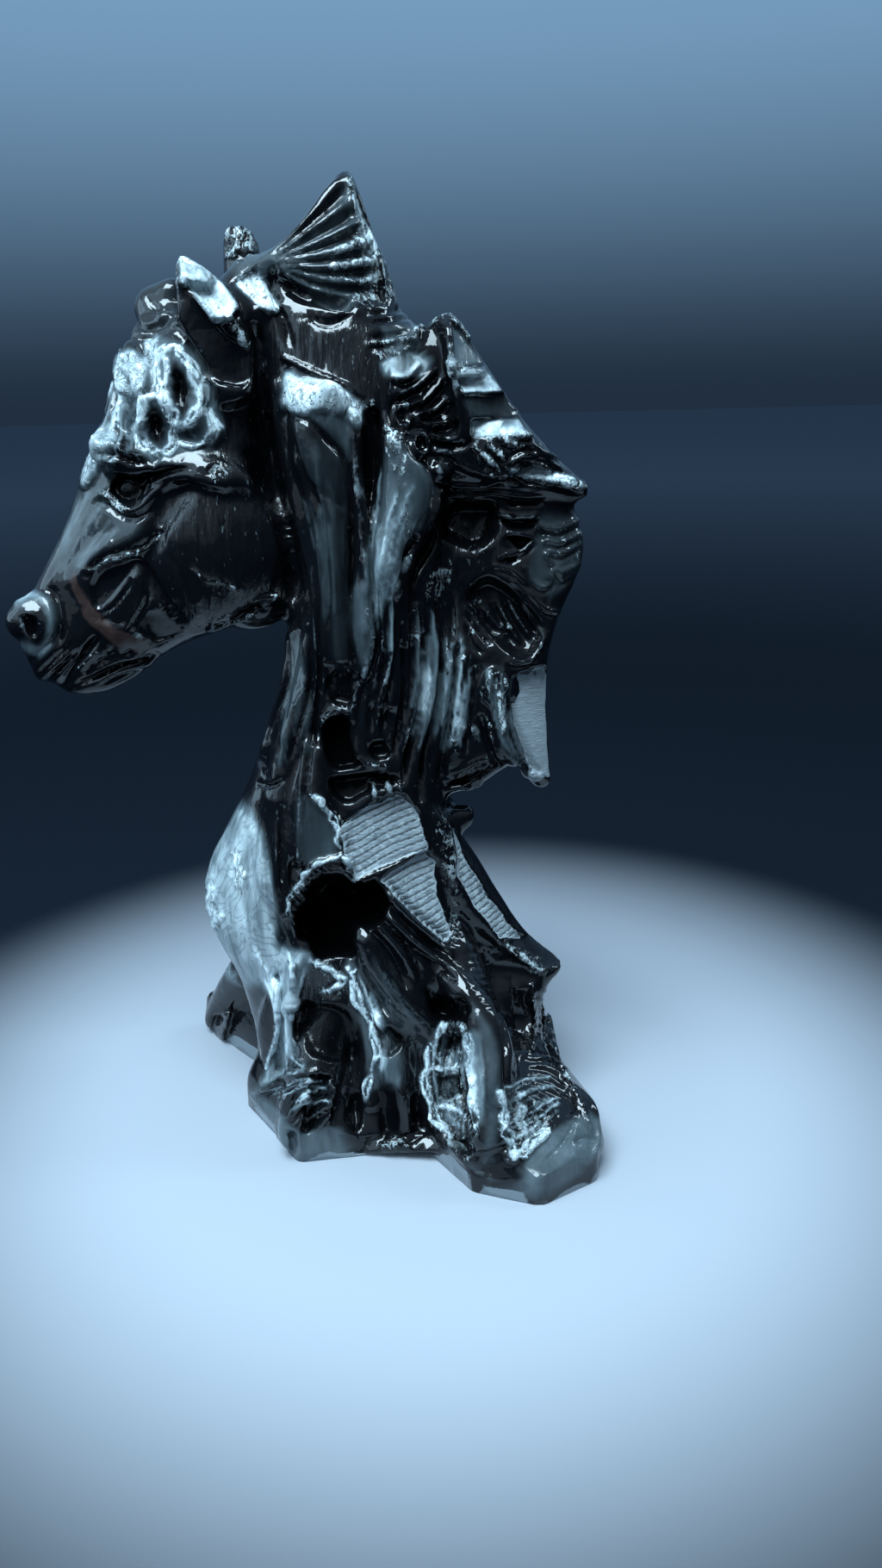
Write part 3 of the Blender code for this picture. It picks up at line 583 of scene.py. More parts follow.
    def facet(self, outline, sunk=0.0, lean=(0, 0), reach=9):
        """Cuts one flat face inside an outline, at the level of its corners less sunk."""
        chosen, inner = self.inside(outline, rounded=False)
        corners = self.corners(outline)
        middle = corners.mean(0)
        normal = np.linalg.svd(corners - middle)[2][2]
        normal *= np.sign(normal[1]) * self.side
        normal = normal + np.array((lean[0], 0, lean[1]))
        normal /= np.linalg.norm(normal)
        middle = middle - normal * sunk
        keep = (inner > -0.4 * FINE_GRAIN) & (self.shown[chosen] > 0.3)
        chosen = chosen[keep]
        drawn = np.column_stack([self.x[chosen], np.zeros(len(chosen)), self.z[chosen]])
        drawn = self.on_edge(drawn, outline, inner[keep])
        way = drawn - self.eye
        new = self.eye + way * (((middle - self.eye) @ normal) / (way @ normal))[:, None]
        near_enough = np.linalg.norm(new - self.points[chosen], axis=1) < reach
        chosen = chosen[near_enough]
        self.moved[chosen] = new[near_enough]
        self.normals[chosen] = normal

    def on_edge(self, drawn, outline, inner):
        """Draws the points that are close to an outline onto it, so the edge is a clean line."""
        close = np.flatnonzero(np.abs(inner) < self.EDGE * FINE_GRAIN)
        place = drawn[close][:, [0, 2]]
        best = np.full(len(close), np.inf)
        target = place.copy()
        corners = np.asarray(outline, float)
        for a, b in zip(corners, np.roll(corners, -1, axis=0)):
            run = b - a
            t = np.clip((place - a) @ run / max(run @ run, 1e-9), 0, 1)
            foot_point = a + t[:, None] * run
            distance = np.hypot(*(place - foot_point).T)
            closer = distance < best
            best[closer] = distance[closer]
            target[closer] = foot_point[closer]
        drawn[close, 0] = target[:, 0]
        drawn[close, 2] = target[:, 1]
        return drawn

    def corners(self, outline):
        """Where the corners of an outline fall on the seen skin."""
        seen_points = np.flatnonzero(self.shown > 0.5)
        found = []
        for x, z in outline:
            off = np.hypot(self.x[seen_points] - x, self.z[seen_points] - z)
            found.append(self.points[seen_points[off.argmin()]])
        return np.array(found)

    def streaks(self, one, other, count, seed, strength, height=0.6):
        """Fine ridges that run side by side between two guide lines, each with a line of painted sheen."""
        chance = random.Random(seed)
        one = through(one, 4)
        other = through(other, 4)
        for i in range(count):
            share = (i + chance.uniform(0.2, 0.8)) / count
            path = one + (other - one) * share
            start = int(chance.uniform(0, 0.45) * len(path))
            end = max(start + 4, int(chance.uniform(0.6, 1) * len(path)))
            path = [(x + chance.uniform(-0.2, 0.2), z, chance.uniform(0.6, 1.2)) for x, z in path[start:end]]
            self.crest(path, 1, height, 0.3)
            self.paint_line(path, "satin", 0.95, strength * chance.uniform(0.6, 1.2))

    def paint(self, outline, name, strength=1.0, feather=1.0, rounded=True):
        """Paints a patch of a layer: a finish, a painted sheen or a painted shade."""
        chosen, inner = self.inside(outline, rounded)
        layer = self.layer(name)
        coat = strength * ease(0.5 + inner / feather) * self.shown[chosen]
        layer[chosen] = np.maximum(layer[chosen], coat)

    def paint_line(self, path, name, width, strength=1.0):
        """Paints a line of a layer: a finish, a painted sheen or a painted shade."""
        chosen, share, _, _ = self.near_line(path, width)
        layer = self.layer(name)
        layer[chosen] = np.maximum(layer[chosen], strength * ease(1.5 * (1 - share)) * self.shown[chosen])


def each(work, rows):
    """Does one kind of work for every row of values."""
    for row in rows:
        work(*row)


def make(sides):
    """Cuts everything that the sides hold into the body, and keeps their finishes and painted sheen and
    shade as attributes.
    """
    body = sides[0].body
    moved = sides[0].points.copy()
    for side in sides:
        flat = (side.moved != side.points).any(1)
        moved[flat] = side.moved[flat]
    for side in sides:
        moved += side.normals * side.lift[:, None] + side.ray * side.push[:, None]
    body.data.vertices.foreach_set("co", (moved * MM).ravel())
    names = sorted({name for side in sides for name in side.layers})
    for name in names:
        values = np.max([side.layer(name) for side in sides], axis=0)
        attribute = body.data.attributes.get(name) or body.data.attributes.new(name, "FLOAT", "POINT")
        attribute.data.foreach_set("value", values.astype(np.float32))
    body.data.update()


# %% [markdown]
# ## Node trees in Python
# `add_node` sets a node up in one call. `Wire` wraps a socket, so that `1 - mask` or `mask * 0.4`
# adds the Math nodes by itself. Each kind of tree has a small class: `GeometryTree` has named inputs
# and ends in real geometry with a material, and `Finish` serves a material or the world.

# %% Nodes and wires


def add_node(tree, kind, settings=None, values=None):
    """Adds a node with its settings first, then the values or links of its sockets."""
    node = tree.nodes.new(kind)
    for name, setting in (settings or {}).items():
        setattr(node, name, setting)
    for name, value in (values or {}).items():
        value = getattr(value, "socket", value)
        if isinstance(value, bpy.types.NodeSocket):
            tree.links.new(value, node.inputs[name])
        else:
            node.inputs[name].default_value = value
    return node


class Wire:
    """A socket that can be used in sums."""

    def __init__(self, tree, socket):
        self.tree = tree
        self.socket = socket

    def sum_with(self, operation, first, second=0.0):
        node = add_node(self.tree, "ShaderNodeMath", {"operation": operation}, {0: first, 1: second})
        return Wire(self.tree, node.outputs[0])

    def __add__(self, other):
        return self.sum_with("ADD", self, other)

    def __radd__(self, other):
        return self.sum_with("ADD", other, self)

    def __sub__(self, other):
        return self.sum_with("SUBTRACT", self, other)

    def __rsub__(self, other):
        return self.sum_with("SUBTRACT", other, self)

    def __mul__(self, other):
        return self.sum_with("MULTIPLY", self, other)

    def __rmul__(self, other):
        return self.sum_with("MULTIPLY", other, self)

    def __truediv__(self, other):
        return self.sum_with("DIVIDE", self, other)

    def __rtruediv__(self, other):
        return self.sum_with("DIVIDE", other, self)

    def __abs__(self):
        return self.sum_with("ABSOLUTE", self)

    def at_least(self, low):
        return self.sum_with("MAXIMUM", self, low)

    def fraction(self):
        return self.sum_with("FRACT", self)


class Tree:
    """A node tree, with one method that adds any node."""

    def __init__(self, tree):
        self.tree = tree

    def node(self, kind, output, settings=None, values=None):
        return Wire(self.tree, add_node(self.tree, kind, settings, values).outputs[output])

    def axis(self, name, place):
        return self.node("ShaderNodeSeparateXYZ", name, values={"Vector": place})


# %% Trees for geometry


class GeometryTree(Tree):
    """A tree with named inputs. Their wires are in `inputs`, their identifiers in `names`."""

    def __init__(self, name, inputs):
        super().__init__(bpy.data.node_groups.new(name, "GeometryNodeTree"))
        interface = self.tree.interface
        interface.new_socket(name="Geometry", in_out="INPUT", socket_type="NodeSocketGeometry")
        interface.new_socket(name="Geometry", in_out="OUTPUT", socket_type="NodeSocketGeometry")
        self.names = {}
        for label, kind in inputs.items():
            socket = interface.new_socket(name=label, in_out="INPUT", socket_type="NodeSocket" + kind)
            self.names[label] = socket.identifier
        entry = add_node(self.tree, "NodeGroupInput")
        self.inputs = {label: Wire(self.tree, entry.outputs[label]) for label in ("Geometry", *inputs)}

    def end(self, geometry):
        """Every tree ends in real geometry with a material."""
        real = self.node("GeometryNodeRealizeInstances", "Geometry", values={"Geometry": geometry})
        painted = self.node("GeometryNodeSetMaterial", "Geometry", values={
            "Geometry": real, "Material": self.inputs["Material"]})
        add_node(self.tree, "NodeGroupOutput", values={"Geometry": painted})

    def work_on(self, body, values):
        """Puts the tree on an object, with the values of its inputs."""
        modifier = body.modifiers.new(self.tree.name, "NODES")
        modifier.node_group = self.tree
        for label, value in values.items():
            modifier[self.names[label]] = value


# %% [markdown]
# ## Locks that follow paths
# The locks, straps and rods are strands that follow paths over the skin, which is a job for
# Geometry Nodes: one tree resamples each path, sweeps a round section along it at the radius that
# the path carries, and lets the thickness waver a little, as hand work does. A path is dropped from
# the eye onto the skin, so it lies where the drawing has it at any depth.

# %% The tree for strands


def strand_tree():
    tree = GeometryTree("Strands along paths", {
        "Spacing": "Float", "Sides": "Int", "Waver": "Float", "Waver scale": "Float", "Seed": "Int",
        "Material": "Material"})
    inputs = tree.inputs
    dense = tree.node("GeometryNodeResampleCurve", "Curve", {"mode": "LENGTH"}, {
        "Curve": inputs["Geometry"], "Length": inputs["Spacing"]})
    place = tree.node("GeometryNodeInputPosition", "Position")
    noise = tree.node("ShaderNodeTexNoise", "Fac", {"noise_dimensions": "4D"}, {
        "Vector": place, "W": inputs["Seed"], "Scale": inputs["Waver scale"], "Detail": 1.0})
    radius = tree.node("GeometryNodeInputRadius", "Radius") * ((noise - 0.5) * inputs["Waver"] + 1.0)
    section = tree.node("GeometryNodeCurvePrimitiveCircle", "Curve", {"mode": "RADIUS"}, {
        "Resolution": inputs["Sides"], "Radius": 1.0})
    tree.end(tree.node("GeometryNodeCurveToMesh", "Mesh", values={
        "Curve": dense, "Profile Curve": section, "Scale": radius, "Fill Caps": True}))
    return tree


glass = bpy.data.materials.new("volcanic glass")
strands_tree = strand_tree()
print("tree for strands with", len(strands_tree.tree.nodes), "nodes")

# %% [markdown]
# ## Laying the locks
# Each path is x, z and a radius in drawn millimetres. The main ones are laid on the far side too, in
# a plainer form, because that side isn't shown.

# %% Paths of the locks

NECK_LOCKS = [
    [(-28, 229, 7), (-29.5, 215, 8), (-27, 200, 7), (-25.5, 185, 6.5), (-26, 165, 6), (-25.5, 150, 5)],
    [(-18.5, 222, 2.5), (-18.5, 205, 3), (-17.5, 188, 4), (-19, 172, 5), (-19, 158, 5), (-19.5, 146, 4)],
    [(-8, 216, 4.5), (-5, 205, 6.5), (-6.5, 193, 6.5), (-10, 181, 6), (-12, 168, 5), (-12, 152, 4),
     (-14, 135, 3.5)],
    [(4, 207, 3), (4, 198, 3.2), (0.5, 189.5, 3.2), (-5, 180, 3), (-7.5, 170, 3), (-7, 155, 2.5)]]
THROAT_STRAPS = [
    [(-39, 232, 3), (-39, 215, 3), (-35, 197, 4), (-33, 180, 4), (-33, 162, 4), (-36, 145, 4),
     (-41, 128, 5), (-46, 112, 6), (-49, 95, 6.5), (-51, 78, 6.5), (-49, 64, 4)],
    [(-40, 160, 3), (-40.5, 148, 3.5), (-45, 134, 3.5), (-51, 120, 3)],
    [(-34, 124, 4), (-37, 108, 6), (-39, 95, 6), (-41, 84, 5)]]
BASE_RODS = [
    [(-16, 84, 1.6), (-8, 73, 2.2), (0, 65, 2), (6, 60, 1.5)],
    [(-13, 72, 1.8), (-4, 62, 2.4), (3, 56.5, 2.2), (9, 51, 1.8)],
    [(-20, 73, 1.5), (-13, 64, 2), (-8.5, 56, 2), (-6, 49, 1.5)],
    [(-22, 67, 3), (-18, 57, 4.5), (-11, 46, 5.5), (-5, 37, 5), (-2, 30, 3.5)],
    [(4, 54, 4), (10, 44, 6), (15.5, 32, 7), (18.5, 18, 6.5), (15.5, 2, 6), (18.5, -14, 6.5)],
    [(-40, 61, 2), (-45, 53, 3.5), (-50, 44, 5), (-53, 33, 5), (-54, 22, 4)],
    [(-27, 56, 2), (-25, 46, 2.5), (-22.5, 37, 2.5), (-22, 27, 2.5), (-23, 15, 2.5), (-22, 2, 2)],
    [(-24, 47, 1.5), (-20, 40, 2), (-14, 34.5, 2), (-8, 30, 1.8)],
    [(2, 34, 2), (-2, 26, 2.4), (-4, 14, 2.4), (-3, 1, 2.4), (3, -10, 2.4), (9, -18, 2.2)],
    [(-12, 12, 1.5), (-11, 2, 1.8), (-11, -7, 1.8)]]
CAVE_ARCH = [
    [(-43.5, 70, 2.2), (-43, 79, 2.8), (-38, 87.5, 3.0), (-31, 91, 3.0), (-25.5, 90, 2.6), (-22.5, 85, 2)]]
FAN_CRESTS = [
    [(-44, 261.5, 1), (-35, 266.5, 1.6), (-28, 272.5, 1.9), (-22, 280, 1.3), (-18.5, 283, 0.6)],
    [(-40, 263, 1), (-30, 267.5, 1.6), (-22, 273, 1.8), (-17, 276.3, 0.7)],
    [(-39, 262.5, 1), (-29, 265.5, 1.6), (-20, 269.5, 1.9), (-15.5, 272, 0.8)],
    [(-39, 262, 1), (-29, 263, 1.7), (-19, 265.5, 2), (-13.5, 267.5, 0.9)],
    [(-39, 261.5, 1), (-29, 260, 1.8), (-19, 261, 2.1), (-12, 262, 0.9)],
    [(-39, 260.5, 1), (-30, 256.8, 1.6), (-21, 256, 2), (-12, 257.3, 0.9)],
    [(-30, 252.5, 0.8), (-25, 249.8, 1.2), (-19, 248.5, 1.3), (-14, 250, 1)]]
EYELETS = [(-4.8, 221), (0.2, 213.2)]


def dropped(body, strands, side, sunk):
    """Strands of x, z, radius dropped from the eye onto one side of the skin, partly sunk in it."""
    tree = BVHTree.FromPolygons([vertex.co / MM for vertex in body.data.vertices],
                                [face.vertices for face in body.data.polygons])
    eye = Vector((EYE.x, -side * EYE.y, EYE.z))
    laid = []
    for strand in strands:
        rows = []
        for x, z, radius in through(strand, 4):
            target = Vector((x, 0, z))
            hit = tree.ray_cast(eye, target - eye)[0] or tree.find_nearest(target)[0]
            inward = (hit - eye).normalized()
            rows.append((*(hit + inward * radius * sunk), radius))
        laid.append(rows)
    return laid


def swept(strands, seed):
    """The strands as one plain mesh, made by the tree."""
    curve = bpy.data.curves.new("strands", "CURVE")
    curve.dimensions = "3D"
    for rows in strands:
        spline = curve.splines.new("POLY")
        spline.points.add(len(rows) - 1)
        for point, (x, y, z, radius) in zip(spline.points, rows):
            point.co = (x * MM, y * MM, z * MM, 1)
            point.radius = radius * MM
    paths = placed("strands", curve)
    strands_tree.work_on(paths, {
        "Spacing": 0.8 * MM, "Sides": 14, "Waver": 0.35, "Waver scale": 90.0, "Seed": seed,
        "Material": glass})
    graph = bpy.context.evaluated_depsgraph_get()
    result = bpy.data.meshes.new_from_object(paths.evaluated_get(graph))
    bpy.data.objects.remove(paths, do_unlink=True)
    mesh = bmesh.new()
    mesh.from_mesh(result)
    return mesh


laid = dropped(body, NECK_LOCKS + THROAT_STRAPS, NEAR, 0.1)
laid += dropped(body, [on_seat(path) for path in BASE_RODS + CAVE_ARCH], NEAR, 0.1)
laid += dropped(body, NECK_LOCKS[:3] + THROAT_STRAPS[:1], FAR, 0.1)
laid += dropped(body, FAN_CRESTS, NEAR, -0.2) + dropped(body, FAN_CRESTS, FAR, -0.2)
body = join([bmesh_of(body), swept(laid, 3)], "sculpture", ROUGH_GRAIN * 0.8, 2)
print("with locks", len(body.data.vertices), "points from", len(laid), "strands")

# %% [markdown]
# ## The deep hollows
# The large cuts come first, while the skin is still coarse: the cave in the base, the hollows under
# the second lock's ledge, and the recesses under the neck's locks. A fresh skin afterwards spreads
# small even faces over their stretched walls.

# %% Deep hollows


def jagged(outline, tooth, seed):
    """The outline with broken teeth, always the same for the same seed."""
    chance = random.Random(seed)
    corners = straight_sides(np.asarray(outline, float), 3)
    before = np.roll(corners, 1, axis=0)
    run = np.roll(corners, -1, axis=0) - before
    out = np.stack([run[:, 1], -run[:, 0]], 1) / np.maximum(np.hypot(*run.T), 1e-6)[:, None]
    bite = np.array([chance.uniform(-1, 1) * tooth for _ in corners])
    return corners + out * bite[:, None]


# Each hollow is its outline, depth, the width of its lip and the strength of the shade painted inside it.
CAVE = [(-43, 74), (-41, 78), (-38, 81), (-36.5, 85), (-33, 87.5), (-28.5, 87), (-24, 84), (-17.5, 85.5),
    (-14.5, 82), (-14, 77), (-15.5, 71), (-18, 68.5), (-23.5, 70), (-24.5, 64), (-25, 59), (-30, 60),
    (-37, 58), (-39, 64), (-42.5, 66)]
BASE_HOLLOWS = [
    ([(-44, 42), (-41, 44.5), (-36, 43.5), (-30, 42), (-27, 38), (-25.5, 32), (-25, 24), (-28, 21.5),
      (-36, 20.5), (-42, 23.5), (-43, 31)], 3.5, 2.5, 0.7),
    ([(-19.5, 35), (-14, 33), (-10, 29), (-12, 24), (-16, 22), (-18.5, 27)], 3, 1.5, 0.8),
    ([(-31, 6), (-28, 11), (-25, 8), (-25, -3), (-27, -7), (-31, -5)], 4, 2.5, 0.6),
    ([(-20, 12), (-14, 12), (-13, 2), (-13, -8), (-20, -8)], 4.5, 2.5, 0.7),
    ([(-9, 10), (-6, 7), (-5, -4), (-9, -7)], 4, 2, 0.7),
    ([(2, 32), (6, 34), (10, 30), (11, 22), (11.5, 8), (13, -6), (12, -17), (8, -17), (2, -10), (-1.5, -2),
      (-2, 8), (-1, 20)], 4, 3, 0),
    ([(21, 9), (25, 9), (31, 4), (37, -4), (36, -9), (28, -19), (23, -18), (21.5, -12)], 3.5, 4, 0),
    ([(-62, 11), (-56, 17), (-50, 22), (-45, 20.5), (-48, 15.5), (-54, 12.5)], 2.5, 2, 0.4),
    ([(-4, 49), (-1, 45), (3, 42), (9, 45), (12, 39), (9, 34), (1, 35), (-2, 40)], 5, 2, 0.8)]
BROAD_HOLLOWS = [
    ([(5, 197), (12, 198), (22, 197), (23, 190), (21, 184), (14, 181), (8, 184), (3, 189)], 6.5, 4, 0.5),
    ([(11, 167), (13, 172), (19, 175.5), (26, 172), (31, 167.5), (36.5, 160), (35, 153), (32, 149.5),
      (25.5, 149.5), (20, 154.5), (15, 160)], 4.5, 3.5, 0.3),
    ([(-1, 243), (6, 246.5), (9.5, 240), (10.5, 230), (12, 218), (8, 213.5), (3, 216), (-1, 221), (-6, 227),
      (-5, 237)], 4, 3.5, 0.35),
    ([(-50, 221), (-44, 226), (-40, 216), (-37, 196), (-37, 176), (-40, 168), (-42, 180), (-44, 196),
      (-48, 208)], 3.5, 4, 0.3)]
SLOTS = [
    ([(-20.4, 212), (-20, 200), (-20.3, 188), (-20.8, 172), (-21.8, 160), (-21, 148), (-22.8, 151),
      (-23.2, 160), (-22.6, 175), (-21.8, 190), (-21.4, 203)], 3.5, 1, 0.7),
    ([(-16.5, 222), (-13, 224), (-11, 222), (-11, 212), (-12, 203), (-14.5, 194), (-16.5, 188), (-17, 200),
      (-17, 212)], 4, 1.3, 0.7),
    ([(-3, 189), (-6.5, 185.5), (-8.5, 180.5), (-9, 175), (-8, 171.5), (-6.5, 175), (-4.8, 180),
      (-1.5, 185.5)], 3.5, 1, 0.8),
    ([(2.5, 189), (-1.2, 183.5), (-3.6, 178), (-4.8, 172), (-4.6, 165), (-3.2, 170), (-1.5, 176),
      (2.5, 182), (4.5, 187)], 4, 1.2, 0.8),
    ([(-30, 146), (-26, 148), (-23.2, 145), (-22.6, 138), (-24, 135), (-27, 135.5), (-30, 137),
      (-31.5, 141)], 3, 1.2, 0.5),
    ([(-33, 130), (-28, 132.5), (-23.2, 131.5), (-22.5, 124), (-21.5, 117), (-24, 115), (-30, 115),
      (-33, 121)], 6.5, 1.2, 1),
    ([(-32, 112), (-24, 113.5), (-14, 114), (-9, 110.5), (-14, 107.5), (-20, 106), (-26, 103), (-31, 106)],
      4.5, 1.5, 0.6),
    ([(-19, 123), (-15, 124), (-12, 121), (-12.5, 118.3), (-18, 118)], 2.5, 1, 0.6),
    ([(3, 214.6), (8, 213.6), (11, 213), (14, 214.4), (16, 218), (15.5, 214.5), (13.5, 212), (10.5, 211),
      (5, 212)], 3, 0.8, 0.9),
    ([(4, 202.6), (9, 200), (16, 199.4), (24, 200.6), (23, 199), (12, 197.8), (6, 198.5)], 2.5, 0.8, 0.8),
    ([(22, 197.4), (28, 196.6), (35.5, 196.6), (34, 194.8), (27, 194.8), (23.5, 196)], 2.5, 0.8, 0.9),
    ([(23, 191.6), (28, 190), (34, 190.8), (33, 188.6), (27, 188.2), (24, 189.6)], 3, 0.8, 0.9),
    ([(24, 186.4), (32.2, 185.4), (28.5, 181.8)], 3, 0.8, 0.9),
    ([(22.5, 178.8), (27, 178.6), (27.5, 180.6)], 2, 0.6, 0.8),
    ([(33, 190), (37, 188.5), (36, 184), (33, 186)], 1.5, 1.5, 0.3),
    ([(5, 108.5), (9, 111.5), (14, 112.5), (19, 115.5), (22, 115), (16, 111), (10, 108.5)], 3, 1, 0.8),
    ([(5, 104.5), (9, 106), (13, 105.5), (12, 103.3), (7, 102.8)], 2, 0.8, 0.7)]


def open_hollows(side, share):
    """The deep cuts, share of their depth as seen from this side."""
    side.hollow(jagged(on_seat(CAVE), 0.8, 5), 15 * share, 1.6, rounded=False)
    for outline, depth, lip, _ in BASE_HOLLOWS:
        side.hollow(jagged(on_seat(outline), 0.9, 2), depth * share, lip, rounded=False)
    for outline, depth, lip, _ in BROAD_HOLLOWS:
        side.hollow(outline, depth * share, lip)


def in_the_seat(side, share):
    """The broad troughs of the chest's flange and the back of the base."""
    for path, width, depth in [
            ([(27, 46), (29, 34), (29, 24)], 4.5, 2.5),
            ([(-49, 112), (-51, 92), (-50, 72), (-47, 58)], 4.5, 2.5)]:
        side.stroke(on_seat(path), width, -depth * share)


near = Side(body, NEAR)
far = Side(body, FAR)
open_hollows(near, 1)
open_hollows(far, 0.6)
in_the_seat(near, 1)
in_the_seat(far, 0.8)
make([near, far])
skin(body, FINE_GRAIN, 1)
print("fine skin", len(body.data.vertices), "points")

# %% [markdown]
# ## Flat faces
# Where the saw or a clean break went through, the glass is flat. Each face is cut as a real plane
# through the corners of its outline, so it mirrors like cut glass. A fresh skin again evens out the
# faces that were stretched along the edges.

# %% Flat faces

SAWN_FIRST = on_seat([
    (-28, 102), (-25.5, 105), (-18, 109.5), (-8.5, 114), (-3.5, 107), (-1, 95), (-12, 91), (-23, 86),
    (-25.5, 92)])
SAWN_SECOND = on_seat([
    (-16, 85), (-11, 89), (-2, 94), (1, 91), (1.5, 80), (5.5, 66), (3, 63), (-3, 70), (-10, 78)])
SAWN_FIN = on_seat([(6.5, 102), (9.5, 93.5), (15, 82), (21, 73), (28, 64), (21, 64.5), (13, 75), (8, 86)])
FOOT_FACES = [
    ([(-63, 7), (-56.5, 0.5), (-50, -5.5), (-46, -7), (-46.5, -15), (-51, -14), (-58, -8), (-63, 0)], 0.3),
    ([(-46, -7), (-40, -5.5), (-37, -2), (-33, -6), (-28, -8), (-25, -9), (-25, -14.5), (-46.5, -15)], 0.3),
    ([(-62, 8.5), (-52, 12.5), (-44, 14.5), (-37, 17), (-33, 11), (-33, 4), (-37, -1.5), (-40, -5),
      (-46, -6.5), (-50, -5), (-56.5, 1)], 0.2),
    ([(-24.5, -9), (-15, -8), (-5, -8), (0, -12), (1, -15), (-24.5, -14.5)], 0.3),
    ([(8, -21.5), (13, -21.5), (16, -16.5), (20, -15), (25, -18), (32, -25.5), (31.5, -29), (20, -26),
      (12, -25)], 0.2),
    ([(28, -20), (36, -9), (43, -3), (46, -2), (46, -12), (44, -19.5), (32, -27)], 0.3),
    ([(46, -2), (48.5, 5), (51, 3), (53.5, -4), (53.5, -14), (51, -20), (45, -19.5), (46, -12)], 0.3),
    ([(26, 20), (33, 21.5), (38, 16), (44, 8), (46, 0), (41, -3), (34, 0), (27, 8)], 0.6),
    ([(-44, 57), (-46, 47), (-46, 40), (-46, 34), (-45, 28), (-45, 22), (-50, 19), (-57, 16), (-58.5, 26),
      (-58, 38), (-56.5, 46), (-50, 54)], 0.4),
    ([(-40, 112), (-36, 113.5), (-33, 111), (-28.5, 104), (-27.5, 97), (-29, 94), (-34, 93), (-39, 90),
      (-41, 98)], 0.4),
    ([(25, 65.5), (33, 64.5), (41, 56.5), (36, 52), (30, 55), (24, 60.5)], 0.2),
    ([(-78, 35), (-70, 31), (-58, 22.5), (-57, 28), (-62, 37), (-68, 40), (-75, 38)], 0.2),
    ([(29, 48), (37, 48), (36, 38), (37, 26), (34, 23), (29, 24)], 0.3)]
EAR_FACE = [(-65.3, 258), (-60, 252.8), (-55.5, 247), (-51.5, 242.3), (-47.2, 240), (-45.5, 234),
    (-50, 230), (-57, 231.5), (-62.5, 235.5), (-66, 242.5), (-66.3, 252)]
EAR_BEVEL = [(-64.3, 264.5), (-57, 260.3), (-53, 256.3), (-49.8, 251), (-51.5, 247.5), (-56, 247.3),
    (-60.3, 253), (-65, 258.2)]
EYE_CHIP = [(-62, 206.8), (-59.5, 209.2), (-56.5, 208.5), (-53.5, 206.2), (-56, 204.6), (-60, 203.8)]
CURTAIN_CORNER = [(28, 144), (36.4, 147), (36.6, 132), (37.4, 118), (37.9, 110.5), (33.5, 109.5), (30, 118),
    (27, 129)]


def flat_faces(side):
    for outline, sunk in ((SAWN_FIRST, 1.2), (SAWN_SECOND, 1.6), (SAWN_FIN, 1.0)):
        side.facet(outline, sunk, reach=10)
    for outline, sunk in FOOT_FACES:
        side.facet(on_seat(outline), sunk, reach=8)
    side.facet(CURTAIN_CORNER, 0.6, lean=(0.1, 0.12), reach=7)
    for outline, sunk, lean in [
            ([(9.4, 246), (12, 243.6), (19.2, 234.2), (9.6, 233.8)], 0.4, (0.35, 0.1)),
            ([(9.7, 233.6), (19.6, 233.8), (24.2, 226.8), (12.6, 226.4)], 0.6, (-0.35, 0.66)),
            ([(12.8, 226.2), (24.6, 226.4), (28.2, 220.2), (14.6, 219.8)], 1, (0, -0.3)),
            ([(14.8, 219.6), (28.5, 219.8), (31.4, 214.8), (15, 213.8)], 0.5, (-0.35, 0.68)),
            ([(24, 206.4), (30, 207.4), (38, 204.4), (48, 201.6), (48.6, 199), (40, 200.4), (30, 201.8),
              (24.5, 203)], 0.3, (-0.45, 0.62)),
            ([(-17.3, 283.2), (-13.2, 272), (-9.6, 265.3), (-13, 262.5), (-15.4, 269), (-16.6, 276)], 0.9,
              (0.35, 0)),
            ([(-66, 159.7), (-58, 162), (-51, 165), (-44.5, 170.5), (-49, 169.5), (-56, 166), (-64, 163)],
              0.2, (0, 0)),
            (EYE_CHIP, 0.35, (-0.1, 0.25))]:
        side.facet(outline, sunk, lean=lean, reach=6)


near = Side(body, NEAR)
far = Side(body, FAR)
for side in (near, far):
    flat_faces(side)
    for outline, depth, lip, _ in SLOTS:
        side.hollow(outline, depth, lip)
near.facet(EAR_FACE, 0.6, reach=5)
near.facet(EAR_BEVEL, 0.3, lean=(-0.25, 0.62), reach=6)
make([near, far])
skin(body, FINE_GRAIN, 0)
print("skin with flat faces", len(body.data.vertices), "points")
